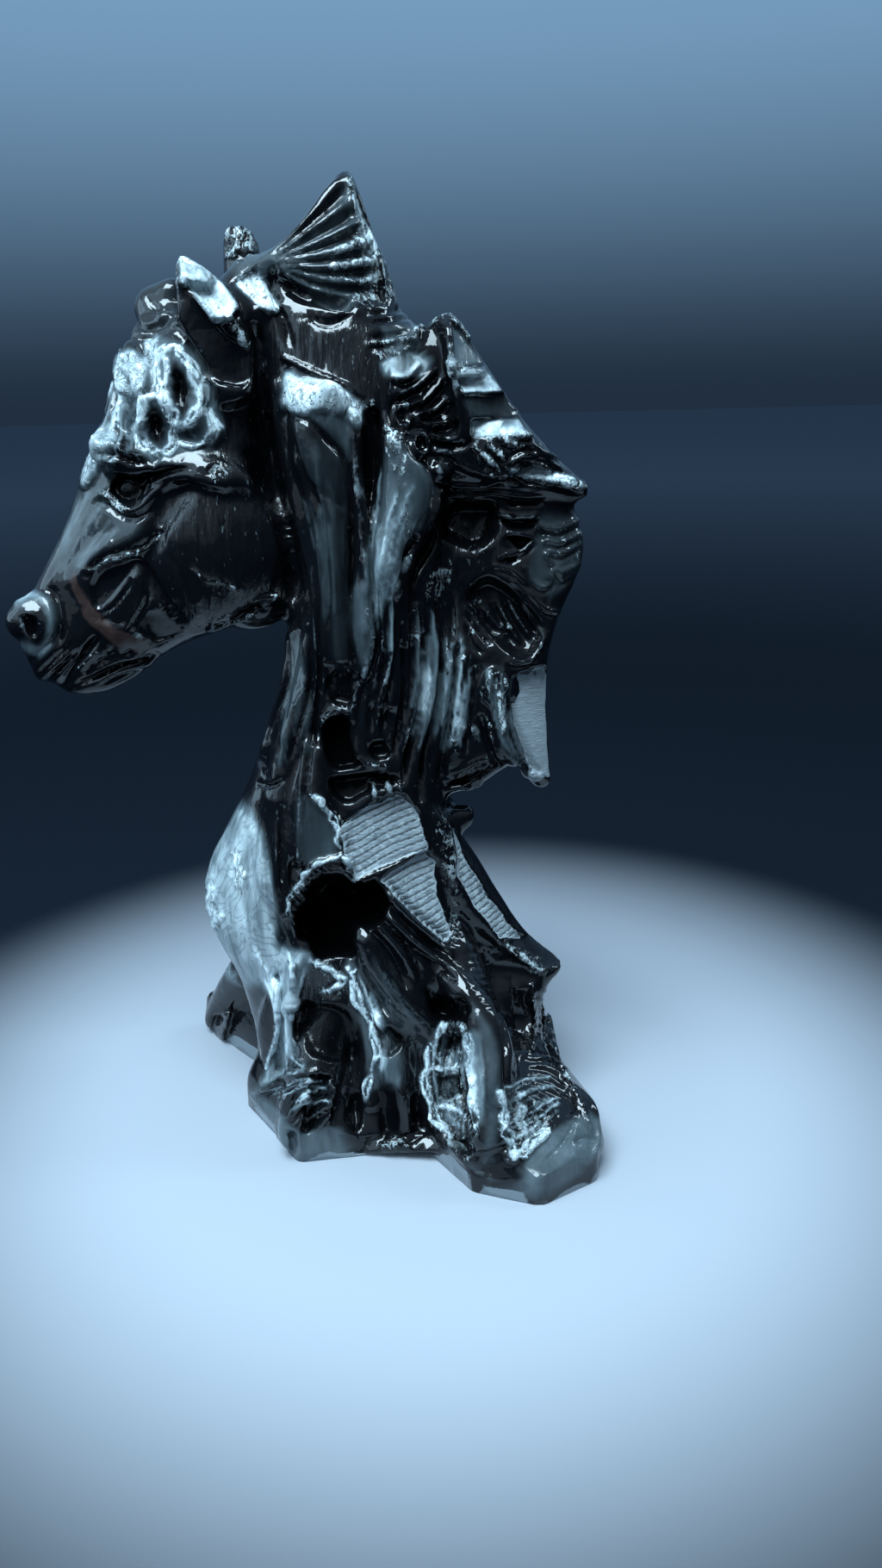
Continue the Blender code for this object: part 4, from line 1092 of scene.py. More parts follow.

# %% [markdown]
# ## The head's features
# Now the fine relief. A `stroke` is a soft fold, a `cut` a narrow valley and a `crest` a narrow
# ridge, each with its line, width and height. A third number in a station makes the line swell or
# thin there, as a chisel line does. `streaks` lays many fine ridges between two guide lines, with a
# painted sheen along each. The finishes of the glass, and painted sheen and shade, are laid with the
# same kinds of outlines and lines. `each` does one kind of work for a whole table.

# %% Nostril, mouth and chin


def muzzle(side):
    side.hollow([(-121.6, 166.5), (-117.5, 166), (-116.6, 162), (-118.5, 159), (-121, 161)], 3.5, 1.6)
    ring = [
        (-122, 170), (-117.5, 172), (-113.6, 170), (-112.8, 164), (-114.5, 158), (-118.5, 155),
        (-121.5, 157.5)]
    each(side.stroke, [
        (ring, 2.6, 0.9, hill, 0), ([(-112, 175), (-110.5, 170), (-110.5, 163), (-112.5, 156)], 2.4, -1.4)])
    # The nostril's ring is satin glass with a painted sheen and highlight.
    each(side.paint_line, [(ring, "satin", 2.8, 0.85), (ring[:3], "satin", 1.4, 1.1)])
    each(side.cut, [
        ([(-121, 152), (-115, 157.5), (-109, 162.5)], 1.8, 1.2, 0.3),
        ([(-119.5, 147.5), (-113, 153), (-107.5, 157.5)], 1.5, 1.1, 0.3),
        ([(-117.5, 145.5), (-111, 150.5), (-105.5, 155.5)], 1.7, 1.9, 0.3),
        ([(-113.5, 143), (-108, 149.5), (-103, 155.5), (-99.5, 159.5)], 2.2, 2.4, 0.3),
        ([(-108.5, 144), (-101, 147.2), (-94, 150.2), (-88, 151.2), (-81, 153.5)], 1.7, 2.2, 0.3),
        ([(-101, 143.6), (-95, 146.4), (-85, 149)], 1.2, 1, 0.3)])
    each(side.stroke, [
        ([(-111.5, 145), (-106, 150.5), (-101, 155)], 1.4, 0.8),
        ([(-107, 146.5), (-100, 149.5), (-92, 152.5), (-86, 153.5)], 1.6, 0.9)])
    for x, z in [(-106, 152), (-104, 148.5), (-99, 152), (-96, 154.5), (-91, 154)]:
        side.stroke([(x - 1.5, z - 0.8), (x + 1.5, z + 0.8)], 1.3, -0.9)
    side.paint([(-108, 152), (-103, 156), (-98, 154), (-102, 150), (-106, 148)], "frost", 0.45, 2)


# %% Cheek and jaw


def cheek(side):
    side.cut([(-50, 213), (-46, 204), (-42, 194), (-39, 183), (-38.5, 173), (-40, 168)], 3.5, 3)
    each(side.stroke, [
        ([(-66, 204.5), (-72, 199), (-78, 192), (-82, 183), (-79.5, 173), (-71, 163.5)], 5, -1.5),
        ([(-78, 193), (-88, 187.5), (-97, 182.5), (-106, 173)], 5.5, 1.1)])
    side.streaks([(-111, 181), (-103, 196), (-97, 206)], [(-101, 180), (-92, 188), (-86, 196)], 9, 81, 0.7,
        0.25)
    side.hollow([(-100, 176), (-96, 181), (-90, 183), (-85.5, 183.5), (-84.5, 179), (-87, 176),
        (-92, 170.5), (-97, 166.5), (-100.5, 168.5)], 2, 2.5)
    side.cut([(-101, 177), (-96.5, 181.5), (-91, 184), (-84, 185.5), (-79, 189), (-74, 193)], 1.6, 1.3)
    chance = random.Random(23)
    chipped_and_highlit = [(x + chance.uniform(-1, 1), z + chance.uniform(-1, 1), chance.uniform(0.4, 1.3)) for x, z in
               through([(-100, 178), (-95.5, 181.5), (-90, 183.5), (-84, 185), (-79, 189), (-74, 193)], 3)]
    side.crest(chipped_and_highlit, 1.8, 1.2, 0.1)
    side.paint_line(chipped_and_highlit, "frost", 1.2, 0.55)
    each(side.cut, [
        ([(-99.5, 166), (-95, 167.5), (-90, 172.5), (-87, 177)], 1.5, 1.2),
        ([(-86, 184), (-81.5, 175), (-77.5, 168), (-72, 161.5)], 2.2, 1.9)])
    side.facet([(-99, 164.5), (-94, 166.5), (-89.5, 171), (-86.5, 175.5), (-86, 170), (-91, 162.5)], 0.5,
        reach=4)
    side.facet([(-89, 162), (-84, 166.5), (-77.5, 166.5), (-73.5, 160), (-82, 157.5)], 0.6, reach=4)
    side.stroke([(-73, 159), (-65, 161), (-57, 163.5), (-50.5, 166.5), (-44, 171)], 1.1, 0.7)
    side.cut([(-91, 160), (-87, 165), (-83.5, 170.5), (-84, 177)], 1.6, 1.2)
    side.stroke([(-69, 178.5), (-64, 175.5), (-60, 175), (-55, 172)], 1.1, 0.6)
    side.cut([(-76, 184), (-72, 176), (-70, 170)], 1.2, 0.5)
    each(side.paint_line, [
        ([(-69, 178.5), (-64, 175.5), (-60, 175), (-55, 172)], "frost", 0.9, 0.7),
        ([(-66, 160.5), (-57, 163), (-50.5, 166), (-44.5, 170.5)], "frost", 0.9, 0.8),
        ([(-104.5, 178, 0.6), (-103, 171, 0.9), (-100, 165, 1.1), (-94, 159, 1.4), (-86, 156, 1.4)], "vein",
          2.6)])


# %% Eye


def eye(side):
    lens = [
        (-91, 203), (-88, 206.8), (-83, 207), (-78, 207.4), (-72, 209), (-67, 208.2), (-73, 205.8),
        (-79, 203.5), (-82, 199.5), (-86, 198.5), (-89.5, 200)]
    side.hollow(lens, 3, 1.8)
    side.swell([(-88, 203), (-86, 205), (-83, 204.6), (-81.6, 202.4), (-83.4, 200.2), (-86.6, 200.2)], 1.3,
        2.2)
    # Painted shade inside the eye.
    side.paint(lens, "dull", 0.75, 1.4)
    each(side.stroke, [
        ([(-93.5, 215), (-88.5, 214), (-83, 211.8), (-78.5, 209.8)], 2.2, 1.8),
        ([(-92.5, 211.2), (-88, 210.6), (-83.5, 209), (-79, 208.4), (-73, 210.4)], 1.7, 1.3),
        ([(-92, 207.6), (-88.6, 208.4), (-84, 207.6), (-79.5, 206)], 1.4, 1),
        ([(-94.5, 201.6), (-91, 200.6), (-88.6, 197.6), (-85, 196.4), (-81.5, 197.8), (-78.5, 201),
          (-74, 204)], 1.8, 1.4),
        ([(-72, 205), (-67, 205.6), (-62, 204.4), (-56, 202)], 2.4, 0.9)])
    each(side.cut, [
        ([(-92.5, 213), (-88, 212.4), (-83.5, 210.6), (-79, 209.4)], 1.4, 1.4),
        ([(-96, 199.6), (-92, 198), (-88.6, 195.2), (-84, 194.2), (-79, 196.8)], 1.8, 1)])
    each(side.paint, [
        ([(-93.5, 202.4), (-90.4, 202), (-88, 199), (-86, 197.6), (-87, 195.6), (-91, 199)], "frost", 0.9,
          1),
        ([(-93, 215.5), (-88, 214.6), (-84, 212), (-88, 210.4), (-93, 211)], "frost", 0.6, 2),
        (EYE_CHIP, "frost", 1, 1.2, False)])


# %% Forelock


def locks_of_the_brow(side):
    side.cut([(-67.5, 247), (-64, 240), (-60.3, 233), (-59.8, 225), (-58, 219)], 2.6, 2.6)
    side.streaks([(-84, 240), (-88, 230), (-93, 218), (-99, 204)], [(-74, 244), (-76, 230), (-80, 214),
        (-86, 207)], 10, 71, 1.4, 0.8)
    chance = random.Random(17)
    for pit, rim, ends in [
            ([(-69, 237), (-66.3, 234), (-65, 229), (-66.5, 223.5), (-69.3, 226), (-70, 231.5)],
              [(-71, 240.5), (-67, 239.5), (-63.6, 235), (-62, 229), (-63.3, 223.5), (-67, 220), (-71, 223),
              (-72.5, 230), (-72.5, 236), (-71, 240.5)], 0),
            ([(-77.5, 224), (-74.3, 224.5), (-72.8, 220), (-74.5, 215.5), (-77.5, 218)], [(-78.6, 227),
              (-75, 227.8), (-71.4, 225), (-70.2, 220), (-71.6, 214.6), (-75.4, 212.2), (-79.2, 214.5),
              (-80.4, 219.5), (-78.6, 227)], 0),
            ([(-68.5, 220), (-65, 219.6), (-62, 222), (-63.8, 218.4), (-67, 217)], [(-70, 216.5),
              (-66.5, 213.4), (-62, 215.5), (-58.8, 220), (-60.4, 224.5)], 0.2)]:
        side.hollow(jagged(pit, 0.8, 12), 2.8, 2.4, rounded=False)
        # Painted shade in each pit, and a painted sheen and highlight on its rim.
        side.paint(pit, "dull", 0.6, 1)
        side.stroke(rim, 4.4, 0.8, hill, ends)
        side.paint_line(rim, "satin", 4.6, 0.8)
        for shift, height in ((-1.3, 0.35), (0.3, 0.6), (1.8, 0.3)):
            broken = [(x + shift * chance.uniform(0.3, 1.3), z + shift * chance.uniform(-0.6, 0.9),
                       chance.uniform(0.35, 1.2)) for x, z in through(rim, 2)]
            side.crest(broken, 1.1, height, ends)
            each(side.paint_line, [(broken, "satin", 1.1, 1.6), (broken, "frost", 0.8, 0.7)])
    for outline, height, lip in [
            ([(-85, 238), (-80.5, 243), (-76.5, 240), (-75.3, 233), (-78, 228.5), (-83, 228.5), (-86, 232)],
              1.8, 3),
            ([(-86, 226.5), (-82.4, 226.5), (-81, 219), (-83, 213.5), (-88, 214), (-90, 219)], 1.5, 2.6),
            ([(-95, 218), (-91.4, 222), (-90.4, 214), (-95, 205), (-99, 203), (-98.5, 210)], 1.1, 2.2)]:
        side.swell(outline, height, lip)
    each(side.cut, [
        ([(-79, 243), (-76.5, 238), (-75.5, 232), (-76.5, 227.5)], 1.6, 1.7, 0.3),
        ([(-84, 237), (-81, 231), (-80.5, 225), (-81.5, 219), (-83.5, 213)], 1.7, 1.9, 0.3),
        ([(-86, 231), (-86.5, 225), (-89.5, 218), (-92.5, 213)], 1.4, 1.5, 0.3),
        ([(-89.5, 224), (-93, 217), (-96.5, 210), (-99, 204)], 1.2, 0.9, 0.3),
        ([(-73.5, 214), (-76, 210.5), (-78, 208)], 1.4, 1.2, 0.3),
        ([(-86, 219), (-88, 214), (-90, 211)], 1.2, 1.2, 0.3),
        ([(-80, 250), (-77.5, 246.8), (-73, 246.2), (-68.5, 248.5)], 1.6, 1.4),
        ([(-79.5, 244), (-76, 243.5), (-71.5, 244.5), (-68, 247)], 1.3, 1),
        ([(-74.5, 254.5), (-72, 251), (-68, 250.5)], 1.3, 0.9)])
    side.swell([(-72.5, 250.5), (-69.5, 251.5), (-68.5, 249), (-71.5, 248)], 0.7, 1.2)
    # The lobes of the forelock are satin glass with a painted highlight.
    for outline, strength in [
            ([(-85, 236), (-80, 240), (-76, 236), (-78, 228), (-83, 228)], 1.3),
            ([(-92, 219), (-88, 222), (-87, 216), (-93, 208), (-98, 203), (-98, 210)], 1.2),
            ([(-76, 243), (-72, 244), (-72, 236), (-75, 228), (-77, 235)], 1.2)]:
        each(side.paint, [(outline, "satin", strength, 2.5), (outline, "frost", 0.75 * strength - 0.1, 4)])


# %% Ears


def near_ear(side):
    each(side.stroke, [
        ([(-65.5, 258.5), (-60.3, 253.2), (-55.8, 247.4), (-51.5, 242.8)], 1, 0.7, hill, 0.1),
        ([(-64.6, 264), (-57, 259.6), (-52.6, 255.4), (-49.5, 250)], 0.9, 0.6, hill, 0.1)])
    for row in range(3):
        for i in range(6):
            x = -62.5 + 2.15 * i + 0.6 * row
            z = 259.8 - 1.85 * i - 2.3 * row + 0.5 * math.sin(5 * i + row)
            side.stroke([(x - 0.8, z + 0.5), (x + 0.8, z - 0.5)], 1.15, -0.7, hill, 0)
    side.stroke([(-52.5, 248.5), (-50, 244.5), (-47.5, 240.5)], 2, 0.9)
    # The bevel is satin glass with a painted highlight.
    each(side.paint, [(EAR_BEVEL, "satin", 1.45, 1.2, False), (EAR_BEVEL, "frost", 0.4, 1.2, False)])
    each(side.paint_line, [
        ([(-52.5, 248.5), (-50, 244.5), (-47.8, 240)], "frost", 1.9, 0.9),
        ([(-66.3, 254), (-65.5, 260), (-64, 264.5)], "frost", 1.2, 0.9)])


def poll_and_far_ear(side):
    side.paint([(-52.3, 270.5), (-48, 271.5), (-44, 268.5), (-43, 264.5), (-48, 262.8), (-52, 263)],
        "frost", 1, 1.2)
    for x, z in [(-50.3, 266.3), (-47.2, 264.2), (-46.6, 267.6)]:
        side.stroke([(x - 0.5, z - 0.9), (x + 0.5, z + 0.9)], 1.4, -1.3, hill, 0)
    for i in range(4):
        side.stroke([(-51.5, 264.5 + 1.8 * i), (-47.5, 265.3 + 1.8 * i), (-44, 264.8 + 1.2 * i)], 0.9, 0.5)
    stripes = [
        (-50, 257.5), (-44, 260.5), (-40.5, 256.5), (-38, 251.5), (-39.5, 249.5), (-43, 250.5),
        (-46.5, 254)]
    side.facet(stripes, 0.2, lean=(0, 0.3), reach=4)
    # The stripes are satin glass with a painted highlight.
    each(side.paint, [(stripes, "satin", 1.5, 1.6), (stripes, "frost", 0.6, 1.6)])
    for i in range(6):
        side.cut([
            (-50 + 1.9 * i, 258 + 0.5 * i), (-47 + 1.7 * i, 254.3 + 0.2 * i),
            (-44.5 + 1.3 * i, 251 + 0.1 * i)], 1.1, 1)
    side.cut([(-38.5, 262), (-40, 256), (-37.5, 248), (-35.5, 240)], 1.8, 1.8)
    side.stroke([(-46, 247), (-44, 240), (-45, 232), (-44, 224)], 2.2, -1.4)


# %% [markdown]
# ## The fan of the top lock
# Sharp crests run from the root of the lock to its broken back edge, with a round valley between
# each two. The strands already stand there, and thin cuts beside them make the crests crisp.

# %% Fan


def fan(side):
    root = np.array((-41.0, 262.5))
    tips = np.array([
        (-17, 280.5), (-15.8, 274), (-14, 269.5), (-12, 264.5), (-11, 259.5), (-13, 254.5), (-18, 251)])

    def bowed(tip, bend, thin, shares):
        """A line from the root to a tip that sags by bend and thins toward the root."""
        path = []
        for t in shares:
            x, z = root + (tip - root) * t - (0, bend * math.sin(math.pi * t))
            path.append((x, z, thin + (1 - thin) * t))
        return path

    for i, tip in enumerate(tips):
        side.cut(bowed(tip, 0.45 * i, 0.35, (0.1, 0.4, 0.7, 1)), 2.1, 1.8, 0.12)
    for i, (tip, lower) in enumerate(zip(tips, tips[1:])):
        side.crest(bowed((tip + lower) / 2, 0.45 * i + 0.2, 0.3, (0.15, 0.4, 0.7, 0.98)), 1, 0.8, 0.12)
    side.crest([(-17.5, 283), (-16.4, 276), (-15.2, 269), (-13.8, 263)], 0.9, 0.8, 0.1)
    # Satin glass with a painted sheen on the fan, and a painted highlight on its broken back face.
    side.paint([(-38, 262), (-30, 268), (-22, 276), (-18, 281), (-15, 272), (-11, 262), (-12, 254),
        (-20, 250), (-30, 254)], "satin", 0.55, 3)
    each(side.cut, [
        ([(-39, 258), (-32, 253.5), (-25, 251.5), (-18, 250.5)], 2.4, 1.7),
        ([(-30, 248), (-26, 246), (-22, 246.5), (-17, 249.5)], 1.6, 0.9)])
    each(side.paint, [
        ([(-17.3, 283), (-13.2, 272), (-9.6, 265.5), (-12.6, 262.8), (-15.2, 269), (-16.4, 276)], "satin",
          1.3, 0.8, False),
        ([(-15, 264), (-9, 264.5), (-4.5, 256), (-6, 251), (-15, 250.5), (-18, 253), (-15, 257)], "frost",
          1, 3),
        ([(-22, 265), (-14, 270), (-12, 262), (-17, 257), (-24, 258)], "frost", 0.8, 3)])
    side.paint_line([(-17.2, 282), (-15.6, 274), (-12.5, 266)], "frost", 1.8, 0.9)


# %% [markdown]
# ## The second lock and its ledge
# A vertical arris divides this lock. The glass is hollowed and rippled on its left. On its right it
# falls in steps of flat faces, and bands of satin glass on the steps carry a painted sheen and
# highlight in turn.

# %% Second lock


def second_lock(side):
    # Bands of satin glass with a painted sheen and highlight on the steps.
    for band, strength in [
            ([(9.7, 233.2), (19.4, 233.4), (24, 226.8), (12.6, 226.8)], 1.35),
            ([(14.8, 219.2), (28.5, 219.4), (31.2, 214.8), (15, 214.2)], 1.35),
            ([(9.6, 245), (12, 243), (19, 234.4), (9.8, 234.2)], 0.75),
            ([(-11, 236), (-2, 238.4), (4, 235.6), (1, 231.4), (-6, 231), (-11, 233)], 1.4),
            ([(-10, 245), (0, 246), (1, 239), (-9, 237)], 0.6),
            ([(13, 225.6), (24.4, 226), (28, 220.4), (14.8, 220.2)], 0.45)]:
        side.paint(band, "satin", strength, 1, False)
    for level in (249, 246.8, 242.6, 240):
        side.cut([(-14, level - 0.8), (-7, level), (-1, level + 0.8)], 1.4, 1.1)
    side.paint([(-13, 242), (-1, 243), (-1, 240), (-8, 236), (-13, 237)], "frost", 0.8, 2)
    for path in [
            [(-8, 231), (-3, 232), (1, 235.5)], [(-7.5, 227), (-1, 229), (5, 233.5)],
            [(-5, 224.3), (1, 225), (8, 232)], [(-1, 222), (4, 222.5), (9, 226)],
            [(2, 218.5), (7, 218.8), (11, 221)]]:
        side.crest(path, 1.3, 1.2)
        side.cut([(x + 0.8, z - 1.8) for x, z in path], 1.2, 1)
    side.crest([(8.5, 247), (9, 240), (9.6, 233), (11, 226), (11.8, 219), (12, 214)], 1.5, 1.1)
    side.stroke([(-0.5, 243.5), (4, 245.8), (8, 247.3), (11, 245), (14.3, 241.8)], 1.3, 0.8, hill, 0)
    side.paint_line([(-0.5, 243.5), (4, 245.8), (8.2, 247.8), (11, 245.4), (14.3, 242)], "frost", 1.6, 0.95)
    each(side.paint, [
        ([(7.6, 235.6), (13, 235.4), (17, 234), (13, 232.4), (9.5, 231.3), (7.8, 233)], "frost", 1, 1.2),
        ([(14.5, 214.5), (22, 215.5), (30, 216), (31, 213.4), (22, 213.8), (15, 212.6)], "frost", 0.9, 1.6),
        ([(26, 223), (28.5, 222), (28, 219.6), (25.8, 221)], "frost", 0.8, 1)])


def ledge(side):
    # Fine ridges along the ledge, with a painted sheen and highlight.
    side.streaks([(24, 206), (34, 205.6), (48, 201.6)], [(24.5, 203.4), (36, 202), (48.4, 199.6)], 6, 51,
        1.4, 0.4)
    side.swell([(3, 207.6), (5, 209.4), (8, 208.4), (9.4, 206), (8.4, 203.8), (5, 203.6), (3, 205.4)], 1.6,
        2.2)
    for path, width, height in [
            ([(24.5, 205.6), (28, 208.6), (32, 209.6), (37, 207.8), (41.5, 204)], 1.2, 1.2),
            ([(26, 205), (31, 207), (36, 206), (40, 203)], 1, 0.9),
            ([(31, 216.5), (32, 212.5), (35, 210), (40, 208)], 1.1, 1.1),
            ([(26, 210.5), (30, 212), (33, 211)], 1.1, 0.9),
            ([(15, 212.6), (18.5, 209.6), (22, 206.4)], 1.4, 1.2),
            ([(19, 213.4), (21.5, 211), (24, 208.4)], 1.3, 1.1),
            ([(23.5, 214), (26, 212.6), (28, 213)], 1.2, 1),
            ([(9.5, 209.3), (13, 206.8), (19, 204.6), (26, 203.8)], 1.1, 1.1),
            ([(3, 210.6), (7, 210.8), (10, 209.4)], 0.9, 0.8),
            ([(24, 203.4), (32, 203), (40, 201.6), (48, 199.6)], 1.8, 1.2)]:
        side.crest(path, width, height)
        side.cut([(x, z - width * 1.1) for x, z in path], width * 0.9, height * 0.9)
    for path, height in [
            ([(3, 204), (7, 202), (12, 201), (18, 201), (23, 202.6)], 0.9),
            ([(4, 199.6), (10, 198.4), (20, 199.2), (28, 198), (36.5, 197.6)], 0.9),
            ([(21, 193.4), (25, 192), (31, 191.8), (34.5, 192.6)], 1),
            ([(23.4, 187), (28.6, 187), (33, 185.8)], 0.8),
            ([(23.4, 186.6), (26, 183.4), (28.5, 181.2)], 0.8),
            ([(28.5, 181.2), (31, 183), (33, 185.6)], 0.8), ([(20.5, 178), (26, 176.2), (31, 171.6)], 1),
            ([(22, 179.4), (25, 180.8), (29, 181)], 0.8),
            ([(30, 178), (32, 173.4), (34.5, 171), (37.5, 171.4)], 1),
            ([(37.5, 171.4), (38.2, 173.2), (36.6, 174.6)], 0.8), ([(36, 181.6), (38.2, 177.4)], 1),
            ([(24.5, 148.6), (31, 148.2), (34, 151), (37.5, 158)], 1.2),
            ([(26, 173.6), (31, 169.2), (36, 164.4), (41, 163)], 1.1)]:
        side.crest(path, 1, height)
        side.cut([(x + 0.3, z - 1.3) for x, z in path], 0.9, 0.8 * height)
    for radius in (1.4, 2.6, 3.8, 5.0, 6.2):
        ring = [(15 + radius * math.cos(a), 188 + radius * math.sin(a)) for a in np.linspace(2.2, 7.0, 8)]
        side.crest(ring, 0.7, 0.5, 0.1)
    for path in [
            [(20.5, 166), (23, 160.5), (27, 153)], [(23.5, 167), (26.5, 161), (31, 154)],
            [(27, 167), (30, 161.5), (34, 156)], [(16, 165), (18.5, 161), (22, 157)]]:
        side.cut(path, 1.5, 1.5)
        side.crest([(x + 1.5, z + 0.5) for x, z in path], 1, 0.8)
    side.cut([(12, 164), (16.5, 158), (20, 153)], 1.6, 1.8)
    for i in range(5):
        low = 188.5 - (3.1, 3.9, 3.4, 4.2, 3.6)[i] * i
        side.crest([(34 + 1.6 * i, low + 0.8), (40 + 0.5 * i, low - 0.4), (47, low + 2.5)], 1.2, 0.9)
        side.cut([(33 + 2.1 * i, low - 1.6), (41, low - 2.4), (47, low + 0.4)], 1, 0.8)
    for outline, strength in [
            ([(13.5, 213.5), (17, 213), (20, 210), (24, 205.4), (20.5, 204.6), (16, 208)], 0.85),
            ([(18, 213.8), (22, 213.6), (24.6, 208.6), (22, 208.4)], 0.8),
            ([(23, 214.6), (28.6, 213.6), (29.6, 211), (25, 211.4)], 0.8),
            ([(24, 206.4), (29, 206), (38, 203.8), (47.6, 202), (48.4, 199.4), (38, 201), (25, 203.4)],
              0.95),
            ([(31, 216.6), (36, 212.6), (35, 210.6), (31.5, 212.6)], 0.55),
            ([(40, 190.5), (46.5, 190), (46.5, 179), (41, 180), (38.5, 186)], 0.4),
            ([(12, 168.5), (17, 168), (18.5, 163), (15.5, 159), (12.5, 163)], 0.6),
            ([(11, 184.5), (16, 184), (18, 181.4), (13, 180)], 0.5),
            ([(24.8, 157.6), (27, 152.6), (24.6, 151.8), (22.5, 156)], 0.5)]:
        side.paint(outline, "frost", strength, 2)


# %% [markdown]
# ## The curtain, the neck's locks and the eyelets
# The flutes are deep narrow cuts that thin to nothing at their ends, and fine ridges with a painted
# sheen run beside them. The two eyelets are rings within rings, such as a drill leaves.

# %% Curtain and eyelets


def curtain(side):
    # Fine ridges with a painted sheen beside the flutes.
    each(side.streaks, [
        ([(-3, 168), (-3.4, 150), (-6, 130), (-9, 112)], [(15, 152), (13.4, 140), (11.6, 128), (9.6, 117)],
          24, 41, 1.1, 0.8),
        ([(18, 146), (19.6, 134), (23, 122), (27, 115)], [(27, 146), (26.6, 135), (29, 124), (34, 112)], 8,
          42, 0.8, 0.4)])
    each(side.cut, [
        ([(-0.8, 159), (-1.5, 150), (-2, 140), (-4, 130), (-6.8, 120), (-8.5, 109)], 1.9, 3.6),
        ([(4.8, 156), (3, 140), (1.2, 130), (-1.5, 118), (-2.8, 103)], 1.9, 3.6),
        ([(10.2, 154), (8.2, 140), (6.5, 130), (4.8, 120), (3.6, 111)], 2.1, 3.8),
        ([(15, 149), (13.8, 138), (12.5, 128), (11.5, 118)], 1.5, 1.8),
        ([(16.4, 132), (18, 124), (20, 118), (22, 114)], 1.7, 2.6),
        ([(-7, 162), (-7, 150), (-7.5, 140), (-9, 130), (-11, 119)], 1.3, 2.2),
        ([(-4, 164), (-4.2, 152), (-5, 140), (-6.5, 131)], 0.9, 1.1),
        ([(26.4, 144), (26.8, 135), (29, 125), (32.5, 116), (35.5, 112)], 1.3, 2.4),
        ([(20, 143), (20.8, 134), (22.2, 127)], 1, 1.4),
        ([(22.4, 145), (23.4, 136), (23.6, 128)], 0.9, 1.2),
        ([(24.4, 141), (25, 132), (27, 123), (30, 116)], 1, 1.4),
        ([(8, 168), (8.2, 160), (7.4, 152)], 1.1, 1.2),
        ([(12.5, 160), (13.5, 155), (17, 150.5)], 1.2, 1.2)])
    each(side.stroke, [
        ([(-2.6, 168), (-3.2, 158), (-3.4, 148), (-4.6, 138), (-7.4, 124), (-9.6, 112)], 1.6, 1),
        ([(2.2, 166), (2, 154), (0.8, 142), (-1.4, 130), (-4.4, 116), (-5.2, 108)], 1.6, 1),
        ([(7, 160), (6.6, 150), (5.4, 140), (3.6, 128), (1.4, 116), (0.4, 108)], 1.6, 0.9),
        ([(11.6, 152), (10.2, 140), (8.8, 130), (7.6, 120)], 1.6, 0.7),
        ([(-9, 160), (-9, 148), (-9.8, 136), (-12, 124)], 1.6, 0.7)])
    each(side.swell, [
        ([(16.5, 137), (17, 143), (19, 146.5), (22, 146.8), (24.6, 143), (25.2, 136), (24.5, 129),
          (23, 125), (21, 129), (19, 134)], 1.6, 2.2),
        ([(23, 126), (26, 120), (30, 114.5), (34, 111), (31, 110.5), (26, 114), (22.5, 120)], 1.2, 2)])
    side.crest([(5, 112), (10, 114), (16, 117), (22, 118)], 1.2, 0.9)
    for i in range(5):
        side.crest([(5 + 3.4 * i, 109.6 + 1.3 * i), (8 + 3.4 * i, 112 + 1.2 * i)], 1, 0.8)
    side.crest([(4, 106.4), (9, 108), (14, 107.6), (17, 110)], 1, 0.9)
    side.cut([(3.5, 101), (8, 101.4), (12, 101)], 1, 1)
    each(side.paint, [
        ([(0, 171), (2, 176), (8, 180.4), (9.6, 177), (8, 172), (4, 168), (1, 167)], "frost", 1, 2),
        ([(16.5, 137), (17, 143), (19, 146.8), (22, 147), (24.8, 143), (25.4, 136), (24.6, 129),
          (23, 124.6), (21.6, 130), (21, 138), (19, 136)], "frost", 0.9, 1.6),
        (jagged(CURTAIN_CORNER, 0.7, 8), "sawn", 0.78, 0.8, False)])
    for path in (
            [(-3, 166), (-3.8, 155)], [(9, 161), (6.6, 152)], [(-3.5, 135), (-7.5, 122)],
            [(17.6, 133), (19, 128)]):
        side.paint_line(path, "frost", 1.2, 0.7)
    chance = random.Random(31)
    for _ in range(26):
        x = chance.uniform(7, 26)
        z = chance.uniform(119, 160)
        side.paint([(x - 0.9, z), (x, z + 0.9), (x + 1, z + 0.3), (x, z - 1)], "frost", 0.85, 1.2)


def eyelets(side):
    for x, z in EYELETS:
        for radius, height in ((4.4, -1.2), (3.0, 0.9), (1.2, -1.6)):
            ring = [(x + radius * 0.78 * math.cos(a), z + radius * math.sin(a))
                    for a in np.linspace(0, 2 * math.pi, 11)]
            side.stroke(ring, 1.5, height, hill, 0)


# %% Locks of the neck


